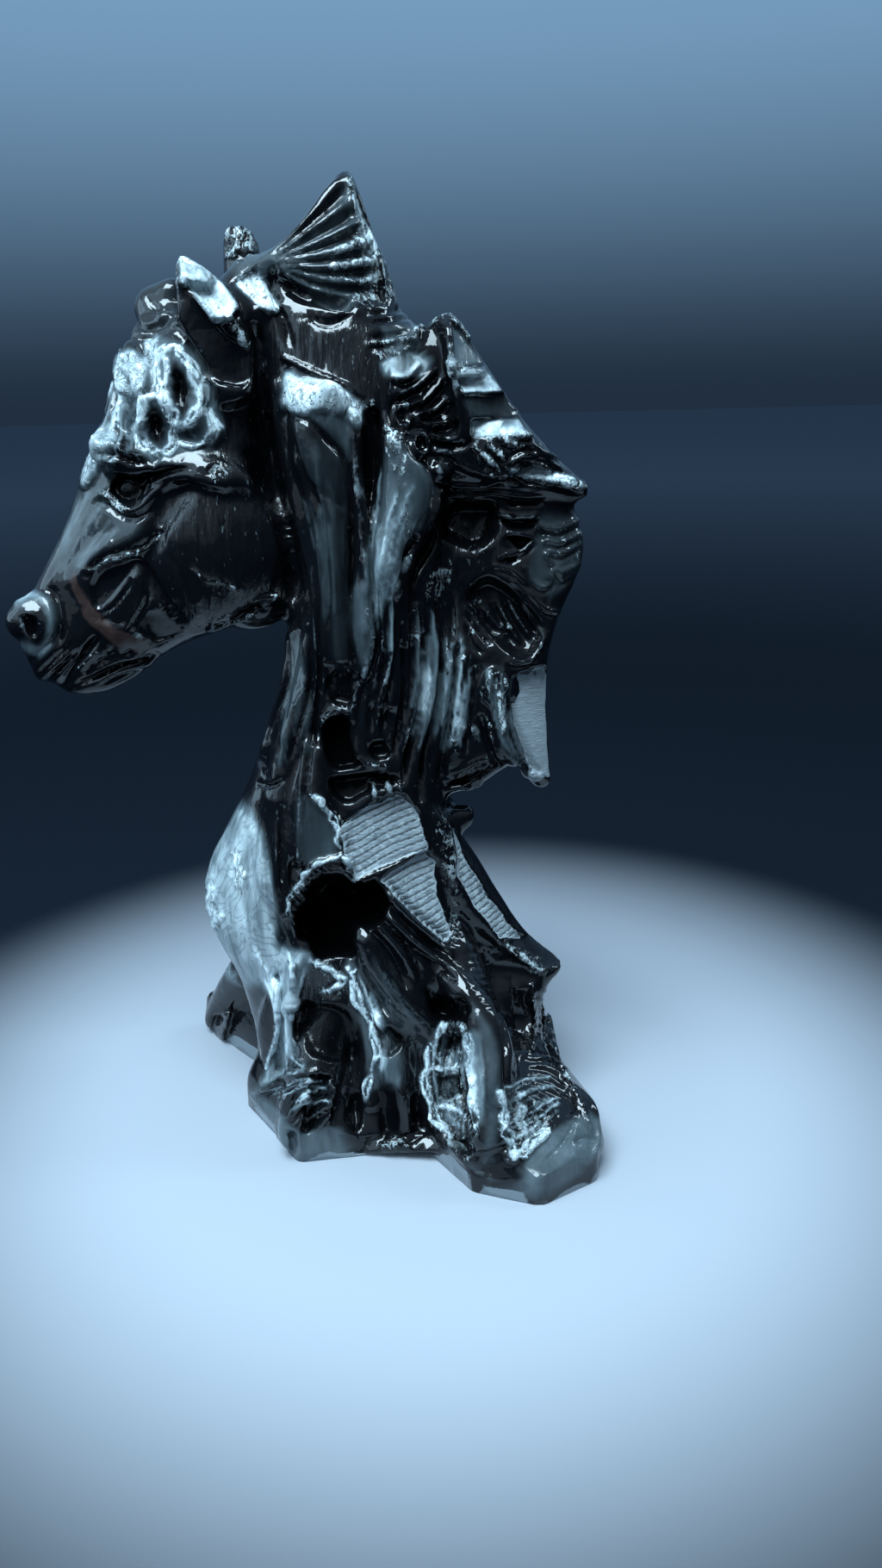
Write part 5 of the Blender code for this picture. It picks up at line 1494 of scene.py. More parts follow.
def neck_relief(side):
    # Fine ridges with a painted sheen down the neck's locks.
    each(side.streaks, [
        ([(-38, 214), (-34.6, 198), (-32, 180), (-32.4, 160)], [(-20, 212), (-22, 192), (-23, 172),
          (-23.6, 152)], 10, 43, 0.5, 0.3),
        ([(-14, 206), (-15, 192), (-19, 170), (-19.4, 150)], [(3, 200), (-4.6, 186), (-9.6, 168),
          (-11, 148)], 14, 44, 1.05, 0.6),
        ([(-41, 150), (-46, 132), (-50, 112)], [(-33, 150), (-36, 130), (-39, 112)], 8, 45, 0.5, 0.5)])
    each(side.swell, [
        ([(-38.5, 231), (-36, 235.5), (-28, 233), (-20, 229.5), (-17, 224), (-19, 219), (-26, 222),
          (-34, 221.5), (-38, 224)], 1.2, 4),
        ([(-37.5, 228), (-36, 214), (-33.5, 205), (-29.8, 196), (-28.8, 185), (-28.6, 165), (-28.4, 150),
          (-26, 143), (-23.6, 150), (-23.9, 165), (-23.2, 180), (-22.3, 192), (-21.2, 205), (-19.6, 214),
          (-19.4, 226), (-28, 231)], 1.2, 5)])
    side.stroke([(-18.6, 224, 0.5), (-18.6, 208, 0.6), (-17.7, 195, 0.8), (-17.8, 182, 1.1),
        (-18.6, 170, 1.4), (-18.6, 158, 1.4), (-19, 145, 0.9)], 2.6, 1.3)
    side.swell([(-10, 222), (-5, 215), (1.5, 205.5), (2.8, 199.5), (-1.8, 191), (-7, 183), (-9.4, 172),
        (-9.8, 158), (-11, 148), (-14, 156), (-14.4, 172), (-14.4, 184), (-11.5, 200)], 1.3, 3)
    each(side.crest, [
        ([(-38.5, 238), (-36, 236.8), (-29, 233.4), (-20, 229.4), (-15.5, 226)], 1.2, 1.3),
        ([(-18.8, 222), (-19.2, 208), (-18.4, 192), (-17.6, 180), (-16.6, 170)], 1.1, 1),
        ([(-15, 172), (-16, 160), (-18, 150), (-21.2, 141), (-23.2, 132), (-22.6, 123), (-20, 117),
          (-13, 115.6)], 1.4, 1.5),
        ([(-12.6, 168), (-13, 156), (-15.6, 146), (-19, 137), (-20, 128), (-18.6, 122)], 1.2, 1.2),
        ([(-10.4, 166), (-10.6, 154), (-12.6, 144), (-15.4, 134), (-16.4, 126)], 1.1, 1),
        ([(-33, 182), (-33.6, 160), (-34.4, 144), (-37, 130), (-40, 114), (-42.4, 96), (-44, 78)], 1.1, 1),
        ([(-30.8, 196), (-31, 178), (-31.2, 160), (-32, 144), (-35, 128)], 1, 0.8),
        ([(-37.4, 158), (-36.4, 150), (-37.6, 142), (-41, 135)], 1, 1),
        ([(-33.4, 131), (-30.4, 133.2), (-28, 134.8), (-25, 133.4), (-22.6, 135.8)], 0.9, 1),
        ([(-33.4, 131), (-31, 129.4), (-27, 131), (-23.4, 132.2)], 0.8, 0.9)])
    each(side.cut, [
        ([(-37.4, 222), (-31.5, 220), (-27.5, 215.4), (-22, 208.6)], 1.3, 1.1),
        ([(-33.5, 204), (-28, 199.6), (-22.5, 195)], 1.4, 0.5),
        ([(-38, 224), (-36.4, 212), (-33.4, 203), (-30, 195), (-29.4, 180), (-29.2, 165), (-29, 150)], 2.4,
          1.2),
        ([(-15.2, 184), (-15.6, 176), (-14.4, 168), (-14, 156), (-16.8, 147)], 1.2, 1.5),
        ([(-13.6, 216), (-14, 205), (-15.2, 196)], 0.8, 0.9),
        ([(-7, 212), (-6, 205), (-4.8, 198), (-4.4, 190)], 1, 0.9),
        ([(-11.5, 166), (-11.8, 154), (-14, 145), (-17, 136), (-18, 127)], 1, 1.4),
        ([(-9.4, 164), (-9.4, 152), (-11, 142), (-13.6, 132), (-14.6, 122)], 1.1, 1.6),
        ([(-42.5, 160), (-42.5, 150), (-44, 141), (-47.5, 134), (-51, 124)], 1.2, 1.2),
        ([(-35.2, 160), (-34.8, 150), (-36, 140), (-40, 130), (-44, 118)], 1.2, 1.5),
        ([(-32.2, 184), (-32.4, 160), (-33.2, 144), (-36, 128), (-38.6, 114), (-41, 98)], 1, 1.3),
        ([(-37.6, 178), (-37.4, 170), (-35.6, 162)], 1, 0.9),
        ([(-36, 180), (-35.4, 172), (-34.4, 164)], 0.9, 0.8),
        ([(-55, 111), (-50, 110), (-46, 112)], 1.4, 1.4), ([(-57, 122), (-53, 118), (-51, 112)], 1.4, 1)])
    for shift in (0, 1.6, 3.0):
        side.crest([(4.6 - shift, 207), (4.8 - shift, 198), (2.4 - shift, 191.4), (-1.6 - shift * 0.8, 186),
            (-4.6 - shift * 0.6, 180), (-7 - shift * 0.4, 174), (-8.2 - shift * 0.2, 168)], 0.9, 1.2)
    for radius in (1.2, 2.3, 3.4, 4.5):
        ring = [(-26.8 + radius * 0.8 * math.cos(a), 140 + radius * 1.3 * math.sin(a))
                for a in np.linspace(-0.4, 3.6, 7)]
        side.crest(ring, 0.7, 0.7, 0.1)
    chance = random.Random(7)
    for _ in range(14):
        x = chance.uniform(-19, -9)
        z = chance.uniform(106, 113)
        side.stroke([(x, z + 1.2), (x + 0.4, z - 1.2)], 0.7, 0.9, hill, 0)
    # A painted highlight on the top of the first lock, as satin and ground glass.
    lit = jagged([(-40, 228.5), (-37.5, 233), (-30, 231.5), (-22, 228.5), (-16.5, 226), (-15, 220),
        (-18, 218), (-21, 222), (-26, 221.5), (-30, 223), (-34, 221.5), (-38.4, 224)], 1.2, 6)
    each(side.paint, [
        (lit, "satin", 1.5, 3, False), (lit, "frost", 0.7, 4, False),
        ([(-14.6, 218), (-12.5, 223), (-14, 226), (-17, 222)], "frost", 0.8, 2),
        ([(-10.4, 219), (-6.6, 216.6), (-4, 213), (-4.4, 206), (-6.4, 203), (-9, 210)], "frost", 0.9, 2)])
    each(side.paint_line, [
        ([(-6.4, 208), (-5.6, 200), (-4.6, 192), (-4.6, 186)], "frost", 1.6, 0.7),
        ([(-18, 166), (-16.4, 154), (-18, 146), (-20.4, 142)], "frost", 1.2, 0.6)])
    side.paint([(-19, 108), (-11, 112.6), (-9.5, 110), (-14, 107)], "frost", 0.7, 2)
    for path in ([(-33.4, 131), (-28, 134.8), (-22.6, 135.8)], [(-20, 117), (-13, 115.6)]):
        side.paint_line(path, "frost", 0.8, 0.7)


# %% [markdown]
# ## The base
# The chest is smooth. Under the neck's locks the saw left flat ribbed faces. Below the cave the
# glass runs down to the foot in a flank streaked with painted sheen, broken crests and a smooth band,
# with troughs between them that are darkened by painted shade. The foot ends in upright facets.

# %% Base and foot


def base(side):
    def cut(path, width, depth, ends=0.25):
        side.cut(on_seat(path), width, depth, ends)

    def raise_up(path, width, height, ends=0.25):
        side.crest(on_seat(path), width, height, ends)

    def broken(path, size, height, seed):
        """A rough crest that wanders and breaks along a line."""
        chance = random.Random(seed)
        for shift in (-0.6, 0.5):
            crest = []
            for x, z in through(path, 3):
                across = (shift + chance.uniform(-0.7, 0.7)) * size
                crest.append((x + across, z + chance.uniform(-0.3, 0.3) * size, chance.uniform(0.25, 1.2)))
            raise_up(crest, size * 1.15, height, 0.1)
            # Each crest is painted as ground glass and as satin glass with a painted sheen.
            each(side.paint_line, [
                (on_seat(crest), "frost", size * 1.1, 0.66), (on_seat(crest), "satin", size * 0.9, 1.6)])

    for outline in (SAWN_FIRST, SAWN_SECOND, SAWN_FIN):
        side.paint(jagged(outline, 0.6, 3), "sawn", 1, 0.8, False)
    # Teeth round the cave's arch.
    arch = through([(-44, 71), (-43, 78), (-38.5, 84), (-35.5, 88.5), (-30, 91), (-26, 89.5),
        (-22.5, 84.5)], 3)
    for i, (x, z) in enumerate(arch):
        cut([(x - 1.2, z + 1), (x + 1.2, z - 1.2)], 1.1 + 0.4 * (i % 2), 1.2, ends=0)
    broken([(-45, 73), (-44, 79), (-40, 86), (-36, 90.5), (-30, 93)], 1.1, 0.8, 4)
    each(cut, [
        ([(-45, 112), (-46, 95), (-47, 78), (-44, 64)], 1.4, 1.8),
        ([(-41.5, 108), (-42, 96), (-43.5, 84), (-43, 74)], 1.1, 1),
        ([(-50.5, 112), (-50.5, 94), (-50, 76), (-47, 62)], 1.2, 1.2)])
    broken([(-35, 114), (-31, 109), (-28.5, 104), (-27, 96), (-25, 90)], 1.2, 0.9, 9)
    # Edges of the rods beside the cave.
    for rod in BASE_RODS[:3]:
        path = [(x, z) for x, z, _ in rod]
        raise_up(path, 1, 0.9)
        each(cut, [
            ([(x - 2.2, z - 1.8) for x, z in path], 1.6, 2),
            ([(x + 2.2, z + 1.6) for x, z in path], 1.4, 1.6)])
    for shift in (0, 2.4, 4.8):
        cut([(-21 + shift, 62), (-17 + shift, 52), (-10.5 + shift, 43), (-5 + shift, 36)], 1, 0.6)
    for i in range(7):
        cut([(0.5 + 1.4 * i, 44 - 0.5 * i), (0.2 + 1.5 * i, 38.5 - 0.6 * i)], 0.8, 1.2, ends=0)
    each(broken, [
        ([(-71.5, 87), (-68, 83), (-70.5, 79), (-67, 74), (-70, 69)], 1.3, 0.4, 31),
        ([(-60, 96), (-58.5, 90), (-59.5, 84)], 0.9, 0.8, 32)])
    # A flank streaked with painted sheen, a double crest down the middle and a smooth band to the right
    # foot.
    each(broken, [
        ([(-38, 58), (-34, 56), (-30, 53), (-31, 49), (-35, 47)], 1.5, 1, 13),
        ([(-26, 55), (-25.6, 47), (-21.5, 37), (-19.4, 28), (-21.5, 16), (-24, 6)], 1.4, 1, 14)])
    for one, other, count, seed, strength in [
            ([(-60, 62), (-53, 48), (-52, 33), (-58, 14)], [(-39.5, 60), (-41.5, 52), (-45, 42), (-46, 23)],
              19, 61, 1.6),
            ([(-57, 15), (-52, 14), (-47, 17)], [(-45, 27), (-43, 22), (-36, 18)], 6, 62, 1.2),
            ([(-25, 54), (-21.5, 42), (-17.5, 30), (-20, 14)], [(-22, 55), (-17, 37), (-13, 24), (-14, 10)],
              7, 63, 1.2),
            ([(-20, 52), (-15.5, 40), (-10, 33), (-3, 28)], [(-17, 58), (-10, 44), (-4, 36), (1, 31)], 7,
              64, 0.5),
            ([(-60.5, 10.5), (-53, 12), (-46, 15), (-36, 14)], [(-49, -1), (-44, 3), (-38, 6), (-33, 4)], 8,
              65, 1.2),
            ([(9.5, 29), (8.8, 13), (12, -2)], [(14, 30), (15.6, 13), (14.6, -4)], 7, 66, 1.5),
            ([(23, -14), (31.6, -9), (43, 3)], [(20, 9), (28.5, 13), (40.5, 13)], 12, 67, 1.3),
            ([(1, 30), (-2, 14), (4, -8)], [(9, 30), (7, 12), (10, -14)], 8, 68, 1)]:
        side.streaks(on_seat(one), on_seat(other), count, seed, strength)
    # Stripes on the left foot.
    for path, width, height in [
            ([(-61, 9), (-52, 14), (-45, 16.5), (-37, 17.5), (-33, 12)], 1.3, 1.2),
            ([(-53, 1), (-49, 8), (-44, 13), (-38, 14.5)], 1.2, 1.1),
            ([(-50, -1), (-44, 6), (-37, 10.5)], 1.1, 1), ([(-46, -4), (-41, 1.5), (-35, 5)], 1.1, 1),
            ([(-33.5, 14), (-31.5, 7), (-31, -1)], 1.3, 1)]:
        raise_up(path, width, height)
        cut([(x + 0.7, z - 2.0) for x, z in path], 1.3, 1.5)
    # The smooth ridge of the right foot, its two hollows and the pleats beside them.
    each(cut, [
        ([(4, 42), (9, 32), (10.5, 18), (9.5, 4), (12, -12)], 1.6, 1.6),
        ([(19, 44), (22, 32), (22.5, 20), (22.5, 8), (22, -8)], 1.4, 1.4),
        ([(24, 50), (26, 38), (26, 24), (25, 14)], 1.3, 1.4)])
    for i in range(9):
        cut([(9 + 0.4 * i, 59 - 2.4 * i), (18 + 0.2 * i, 59.5 - 2.5 * i)], 0.8, 0.35)
    each(broken, [
        ([(3, 34), (-1.5, 26), (-3.5, 14), (-2.5, 1), (3, -9), (8, -16)], 1.4, 0.9, 17),
        ([(10, 30), (11.5, 18), (11.5, 6), (12.5, -6)], 1.3, 0.8, 18),
        ([(-1, 18), (4, 17), (8, 19)], 1.1, 0.9, 19), ([(-1, 2), (4, 3), (8, 0)], 1.2, 0.9, 20)])
    # Painted shade inside the small hollows of the right foot.
    for outline in [
            [(0, 15), (7, 15), (8, 8), (5, 5), (0, 6)], [(3, 30), (8, 30), (8, 25), (3, 24)],
            [(3, -11), (9, -10), (11, -16), (8, -18)]]:
        side.hollow(jagged(on_seat(outline), 0.5, 6), 2.2, 1.2, rounded=False)
        side.paint(on_seat(outline), "dull", 0.8, 1.5)
    for i in range(6):
        raise_up([(27 + 0.5 * i, 7 + 2.6 * i), (33 + 0.8 * i, 3 + 3.4 * i), (40 + 0.6 * i, -1 + 3.2 * i)],
            1.2, 1)
    each(broken, [
        ([(21.5, 8), (22, -2), (23, -12), (27, -18), (31, -13), (36, -7)], 1.6, 1, 21),
        ([(26, 4), (27, -4), (29, -10)], 1.5, 0.9, 22)])
    for i in range(7):
        raise_up([(29, 25 + 3.2 * i), (33, 26 + 3.2 * i), (37, 25.5 + 3.3 * i)], 1.1, 0.5)
    for i in range(7):
        cut([(8 + 1.6 * i, 74 - 1.7 * i), (12 + 1.4 * i, 62 - 0.4 * i)], 0.8, 0.5)
    raise_up([(22, 62), (28, 57.5), (34, 52.5), (40, 56)], 1.2, 1)
    # The chip on the ground, and the creases of the upright rim.
    side.swell(on_seat([(-19.5, -12), (-15, -8.5), (-12, -10), (-10, -13.5), (-18.5, -14)]), 1.6, 2)
    for path in (
            [(34, -22), (42, -12), (46, -3)], [(45, -13), (49, -11), (53, -13)],
            [(-5, -8), (-10, -11), (-14, -14)], [(-37, -2), (-36, -8), (-34, -14)]):
        cut(path, 0.9, 0.8)
    rough = [
        ([(-38, 59), (-29, 57), (-26, 48), (-31, 45), (-38, 46)], 0.75),
        ([(0, 33), (5, 36), (11, 30), (11.5, 8), (13.5, -8), (9, -19), (2, -10), (-3, 0), (-4, 14),
          (-2, 26)], 0.9),
        ([(21, 10), (26, 9), (32, 3), (38, -5), (34, -13), (27, -20), (22, -16)], 0.95),
        ([(-19.5, -11), (-15, -7.5), (-11, -9.5), (-10, -14), (-19, -14)], 0.95),
        ([(-72.5, 84), (-70, 88), (-66, 84), (-65, 72), (-69, 67), (-72, 74)], 0.72),
        ([(-60, 97), (-57, 94), (-57, 82), (-59.5, 82)], 0.8),
        ([(2, 104), (6, 105), (9, 92), (9, 80), (8.5, 64), (4, 66), (4, 80), (3, 92)], 0.85),
        ([(20, 64), (27, 61), (36, 54), (34, 50), (25, 57)], 0.9),
        ([(0.5, 108), (6, 108), (9, 104), (4, 102)], 0.5),
        ([(-30, 112), (-25, 106), (-20, 108), (-26, 100), (-29, 100)], 0.7)]
    for outline, strength in rough:
        side.paint(on_seat(outline), "frost", strength, 4)


# %% Satin sheen, hatch and painted shade


def satin_sheen_and_shade(side):
    """Slightly rough satin glass with a painted sheen, hatched glass, and painted shade in the hollows."""
    # Satin glass with a painted sheen, which turns into a painted highlight where it is strongest.
    for outline, strength in [
            (on_seat([(-58, 112), (-66, 100), (-73, 84), (-72, 66), (-64, 50), (-52, 52), (-49, 70),
             (-50, 92), (-53, 108)]), 1.2),
            ([(-112, 181), (-104, 196), (-98, 207), (-93, 214), (-88, 208), (-92, 200), (-85, 195),
              (-82, 190), (-92, 186), (-102, 181)], 0.38),
            ([(-37, 221), (-35.5, 213), (-33, 205), (-29, 197), (-28.5, 150), (-24, 148), (-23.5, 180),
              (-22, 195), (-21, 206), (-28, 214)], 0.3),
            ([(-38, 230), (-36, 222), (-30, 220), (-25, 215), (-20.5, 209), (-20, 216), (-19, 222),
              (-26, 226)], 0.7),
            ([(-9, 214), (-5, 213), (2, 204), (3, 199), (-2, 189.5), (-6.5, 183), (-9, 172), (-14.5, 172),
              (-14, 185), (-11, 200)], 0.68),
            ([(-22.5, 172), (-16, 173), (-15, 163), (-16.5, 154), (-19, 148), (-22.5, 156)], 0.6),
            ([(-52, 262), (-44, 267), (-34, 269), (-30, 266), (-38, 261), (-46, 257)], 0.6),
            ([(-82, 246), (-76, 256), (-66, 259), (-66, 248), (-72, 240), (-80, 238), (-85, 230),
              (-80, 226), (-74, 232)], 0.3),
            ([(-41.5, 157), (-38.5, 158), (-37, 150), (-38, 142), (-41, 136), (-44, 137), (-42.5, 146)],
              0.5),
            ([(33, 192), (44, 192), (47, 184), (45, 174), (38, 168), (31, 174), (33, 184)], 0.4),
            ([(24, 125), (28, 117), (34, 111), (31, 110.5), (26, 115)], 0.6),
            (on_seat([(-61, 64), (-39, 61), (-42, 50), (-46, 38), (-46, 24), (-50, 16), (-60, 11),
             (-56, 19), (-51.4, 30), (-52, 44), (-58, 52)]), 1.2),
            (on_seat([(-28, 56), (-24, 55), (-20, 43), (-14, 31), (-11, 21), (-13, 10), (-21, 10), (-24, 6),
             (-23, 22)]), 0.65),
            (on_seat([(-19, 60), (-13, 43), (-6, 35), (0, 29), (-5, 22), (-9, 29), (-15, 36), (-20, 48)]),
             0.36),
            (on_seat([(10, 43), (16, 36), (20.5, 22), (20, -4), (18.5, -22), (14, -20), (16, 0), (14, 30)]),
             0.55),
            (on_seat([(9, 29), (14, 30.5), (16, 13), (14.8, -5), (12, 0), (8.6, 13)]), 0.9),
            (on_seat([(-62, 11), (-54, 5), (-47, -5), (-33, -4), (-31, -13), (-34, -19), (-49, -19),
             (-58, -13)]), 0.76),
            (on_seat([(31, -14), (47, -2), (54, -4), (54, -18), (33, -36), (8, -20), (12, -22), (25, -30)]),
             0.78),
            (on_seat([(-40, 112), (-36, 113), (-29, 103), (-29, 94), (-39, 91), (-41, 98)]), 0.55)]:
        side.paint(outline, "satin", strength, 3)
    # Hatched glass, which also carries painted glints in its colour.
    for outline, strength in [
            ([(-80, 192), (-74, 199), (-66, 203), (-56, 201), (-49, 196), (-44, 184), (-45, 172),
              (-54, 165), (-66, 161.5), (-76, 164), (-82, 178)], 1),
            ([(-50, 246), (-40, 250), (-38, 236), (-39, 215), (-37, 190), (-38, 166), (-42, 166),
              (-47, 190), (-54, 205), (-62, 212), (-56, 222), (-48, 232)], 1),
            ([(-38, 250), (-30, 246), (-18, 247), (-12, 244), (-6, 236), (-8, 224), (-16, 228), (-24, 231),
              (-36, 236)], 1),
            ([(-22, 228), (-8, 226), (-10, 214), (-14, 198), (-17, 190), (-20, 206)], 0.8),
            ([(6, 197), (20, 197), (24, 186), (20, 178), (10, 180), (5, 188)], 0.8),
            ([(-3, 166), (8, 164), (16, 154), (14, 130), (4, 108), (-8, 110), (-8, 140)], 0.55),
            (on_seat([(-48, 112), (-42, 112), (-42, 90), (-45, 66), (-50, 66), (-49, 90)]), 0.7),
            (on_seat([(-42, 58), (-30, 56), (-24, 40), (-24, 10), (-44, 18), (-46, 40)]), 0.9),
            (on_seat([(0, 34), (10, 34), (13, 0), (10, -18), (0, -8)]), 0.8),
            (on_seat([(22, 8), (30, 6), (38, -4), (28, -18), (22, -14)]), 0.8)]:
        side.paint(outline, "hatch", strength, 5)
    # Painted shade inside the cave, the hollows and the slots.
    side.paint(on_seat(CAVE), "dull", 1, 2)
    for outline, _, lip, shade_strength in BASE_HOLLOWS:
        side.paint(on_seat(outline), "dull", shade_strength, lip)
    for outline, _, lip, shade_strength in BROAD_HOLLOWS + SLOTS:
        side.paint(outline, "dull", shade_strength, lip)


# %% Cut the relief on both sides

near = Side(body, NEAR)
far = Side(body, FAR)
for side in (near, far):
    muzzle(side)
    cheek(side)
    eye(side)
    locks_of_the_brow(side)
    fan(side)
    second_lock(side)
    ledge(side)
    curtain(side)
    eyelets(side)
    neck_relief(side)
    base(side)
    satin_sheen_and_shade(side)
near_ear(near)
poll_and_far_ear(near)
make([near, far])
print("relief layers", sorted(near.layers))

# %% [markdown]
# ## Weathering
# Weathering follows the painted finishes, so another Geometry Nodes tree moves the skin along its
# normals: by sharp wandering crests where the glass is ground, by slanting steps where it is sawn,
# by fine upright scratches where it is hatched, and by slow waves everywhere.

# %% The tree for ground and sawn glass


SEED = 11
RIB_PITCH = 2.3
RIB_LEAN = 0.36
RIB_BEND = 60.0
RIB_WANDER = 1.7


def weather_tree():
    tree = GeometryTree("Ground and sawn glass", {
        "Pit depth": "Float", "Pit scale": "Float", "Rib depth": "Float", "Rib pitch": "Float",
        "Wave height": "Float", "Wave scale": "Float", "Scratch depth": "Float", "Seed": "Int",
        "Material": "Material"})
    inputs = tree.inputs
    place = tree.node("GeometryNodeInputPosition", "Position")
    normal = tree.node("GeometryNodeInputNormal", "Normal")

    def attribute(name):
        return tree.node("GeometryNodeInputNamedAttribute", "Attribute", {"data_type": "FLOAT"},
                         {"Name": name})

    def drawn_out(height):
        return tree.node("ShaderNodeVectorMath", "Vector", {"operation": "MULTIPLY"},
                         {0: place, 1: (1.0, 1.0, height)})

    def noise(scale, detail, at):
        return tree.node("ShaderNodeTexNoise", "Fac", {"noise_dimensions": "4D"}, {
            "Vector": at, "W": inputs["Seed"], "Scale": scale, "Detail": detail, "Roughness": 0.6})

    # Sharp wandering crests, as chipped glass has, with hollows between them.
    slow = noise(inputs["Pit scale"], 2.0, drawn_out(0.33)) * 2.0 - 1.0
    chips = 1.0 - abs(slow)
    pitted = (chips - 0.75) * inputs["Pit depth"] * attribute("frost")
    # Slanting steps that wander a little.
    slope = tree.axis("X", place) * -RIB_LEAN + tree.axis("Z", place)
    wander = noise(RIB_BEND, 1.0, place) * RIB_WANDER * inputs["Rib pitch"] + slope
    steps = (wander / inputs["Rib pitch"]).fraction()
    sawn = (steps - 0.5) * inputs["Rib depth"] * (attribute("sawn") * 6.0 - 5.0).at_least(0.0)
    waves = (noise(inputs["Wave scale"], 1.0, place) - 0.5) * inputs["Wave height"]
    scratches = (noise(420.0, 2.0, drawn_out(0.12)) - 0.5) * inputs["Scratch depth"]
    total = (pitted + sawn) + (waves + scratches * attribute("hatch"))
    offset = tree.node("ShaderNodeVectorMath", "Vector", {"operation": "SCALE"}, {
        0: normal, "Scale": total})
    tree.end(tree.node("GeometryNodeSetPosition", "Geometry", values={
        "Geometry": inputs["Geometry"], "Offset": offset}))
    return tree


weather_tree().work_on(body, {
    "Pit depth": 2.3 * MM, "Pit scale": 250.0, "Rib depth": 0.9 * MM, "Rib pitch": RIB_PITCH * MM,
    "Wave height": 0.5 * MM, "Wave scale": 70.0, "Scratch depth": 1.0 * MM, "Seed": SEED,
    "Material": glass})
apply_modifiers(body)
print("weathered", [name for name in body.data.attributes.keys() if not name.startswith(".")])

# %% [markdown]
# ## The finished piece
# The skin is thinned where it is flat, so the triangles are spent on edges and pits. Then the
# underside is cut flat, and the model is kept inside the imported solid's box.

# %% Thin, cut and fit


def thin(body, triangles):
    collapse = body.modifiers.new("Thin", "DECIMATE")
    collapse.ratio = min(1.0, triangles / (2 * len(body.data.polygons)))
    collapse.use_collapse_triangulate = True
    apply_modifiers(body)


def cut_underside(body):
    mesh = bmesh.new()
    mesh.from_mesh(body.data)
    everything = mesh.verts[:] + mesh.edges[:] + mesh.faces[:]
    bmesh.ops.bisect_plane(mesh, geom=everything, plane_co=(0, 0, 0), plane_no=(0, 0, -1), clear_outer=True)
    rim = [edge for edge in mesh.edges if edge.is_boundary]
    bmesh.ops.holes_fill(mesh, edges=rim, sides=0)
    bmesh.ops.triangulate(mesh, faces=[face for face in mesh.faces if len(face.verts) > 3])
    bmesh.ops.recalc_face_normals(mesh, faces=mesh.faces)
    mesh.to_mesh(body.data)
    mesh.free()


def keep_in_box(body, low, high):
    points = rows_of(body.data.vertices, "co")
    over = np.maximum(points - high, low - points).max()
    body.data.vertices.foreach_set("co", np.clip(points, low, high).ravel())
    body.data.update()
    return over


def note_crests(body, sharp, broad):
    """Writes how far each point stands over the evened skin round it, in drawn millimetres.

    A broad round stands over its surroundings in step with the number of evenings, a sharp crest
    does so after a few, so the broad rounds are taken off the sharp crests.
    """
    data = body.data
    count = len(data.vertices)
    points = rows_of(data.vertices, "co") / MM
    normals = rows_of(data.vertex_normals, "vector")
    ends = np.empty(len(data.edges) * 2, np.int32)
    data.edges.foreach_get("vertices", ends)
    one, other = ends.reshape(-1, 2).T
    links = np.bincount(one, minlength=count) + np.bincount(other, minlength=count)

    def evened(values):
        total = np.bincount(one, values[other], count) + np.bincount(other, values[one], count)
        return (values + total) / (1 + links)

    smooth = points.T.copy()
    heights = []
    for _ in range(broad):
        smooth = np.array([evened(axis) for axis in smooth])
        heights.append(((points - smooth.T) * normals).sum(1))
    over = evened(heights[sharp - 1] - heights[-1] * sharp / broad)
    attribute = data.attributes.new("crest", "FLOAT", "POINT")
    attribute.data.foreach_set("value", over.astype(np.float32))
    return over


thin(body, TRIANGLES)
cut_underside(body)
over = keep_in_box(body, np.array(low_corner), np.array(high_corner))
body.data.shade_smooth()
crests = note_crests(body, 3, 12)
print("crests from", np.round(np.percentile(crests, (2, 25, 75, 90, 98)), 2), "mm")
print("piece", len(body.data.polygons), "triangles, trimmed by", round(1000 * over, 2), "mm")

# %% [markdown]
# ## Tools for a finish
# A finish is a tree round one shader. Noise, soft ramps and mixed colours are the tools that every
# finish here is made with.

# %% Finish


class Finish(Tree):
    """The tree of a material or of the world, round its one shader."""

    def __init__(self, owner, shader="Principled BSDF"):
        owner.use_nodes = True
        super().__init__(owner.node_tree)
        self.shader = self.tree.nodes[shader]

    def attribute(self, name):
        return self.node("ShaderNodeAttribute", "Fac", {"attribute_name": name})

    def noise(self, place, scale, detail=2.0, roughness=0.5, stretch=None, bend=0.0):
        if stretch:
            place = self.node("ShaderNodeMapping", "Vector", values={"Vector": place, "Scale": stretch})
        return self.node("ShaderNodeTexNoise", "Fac", values={
            "Vector": place, "Scale": scale, "Detail": detail, "Roughness": roughness, "Distortion": bend})

    def ramp(self, value, low, high):
        return self.node("ShaderNodeMapRange", "Result", {"interpolation_type": "SMOOTHSTEP"},
                         {"Value": value, "From Min": low, "From Max": high})

    def mix(self, share, first, second):
        return self.node("ShaderNodeMix", 2, {"data_type": "RGBA"}, {0: share, 6: first, 7: second})

    def set(self, socket, value):
        if isinstance(value, Wire):
            self.tree.links.new(value.socket, self.shader.inputs[socket])
        else:
            self.shader.inputs[socket].default_value = value


# %% [markdown]
# ## Black volcanic glass
# Polished, the glass is almost black and mirrors the lights in crisp shapes, with slow ripples from
# the wheel. Satin glass is a little rough, with a painted grey sheen, and where it is strong a painted
# highlight between contour lines. Hatched glass is dark with fine upright scratches and painted glints.
# Ground, it is a pale blue grey, painted lighter on its crests as highlights and darker in its pits as
# shade. Sawn, it is an even pale grey with painted shade lines at its steps. Other crests turn pale,
# partly as wear and partly as painted highlight, and the hollows get a painted shade. A rust-red vein
# runs over the muzzle.

# %% Finish of the glass

BLACK = (0.0018, 0.0022, 0.003, 1)
CLOUDED_BLACK = (0.005, 0.0058, 0.0078, 1)
# Tiny painted glints in hatched glass.
GLINT = (0.10, 0.125, 0.14, 1)
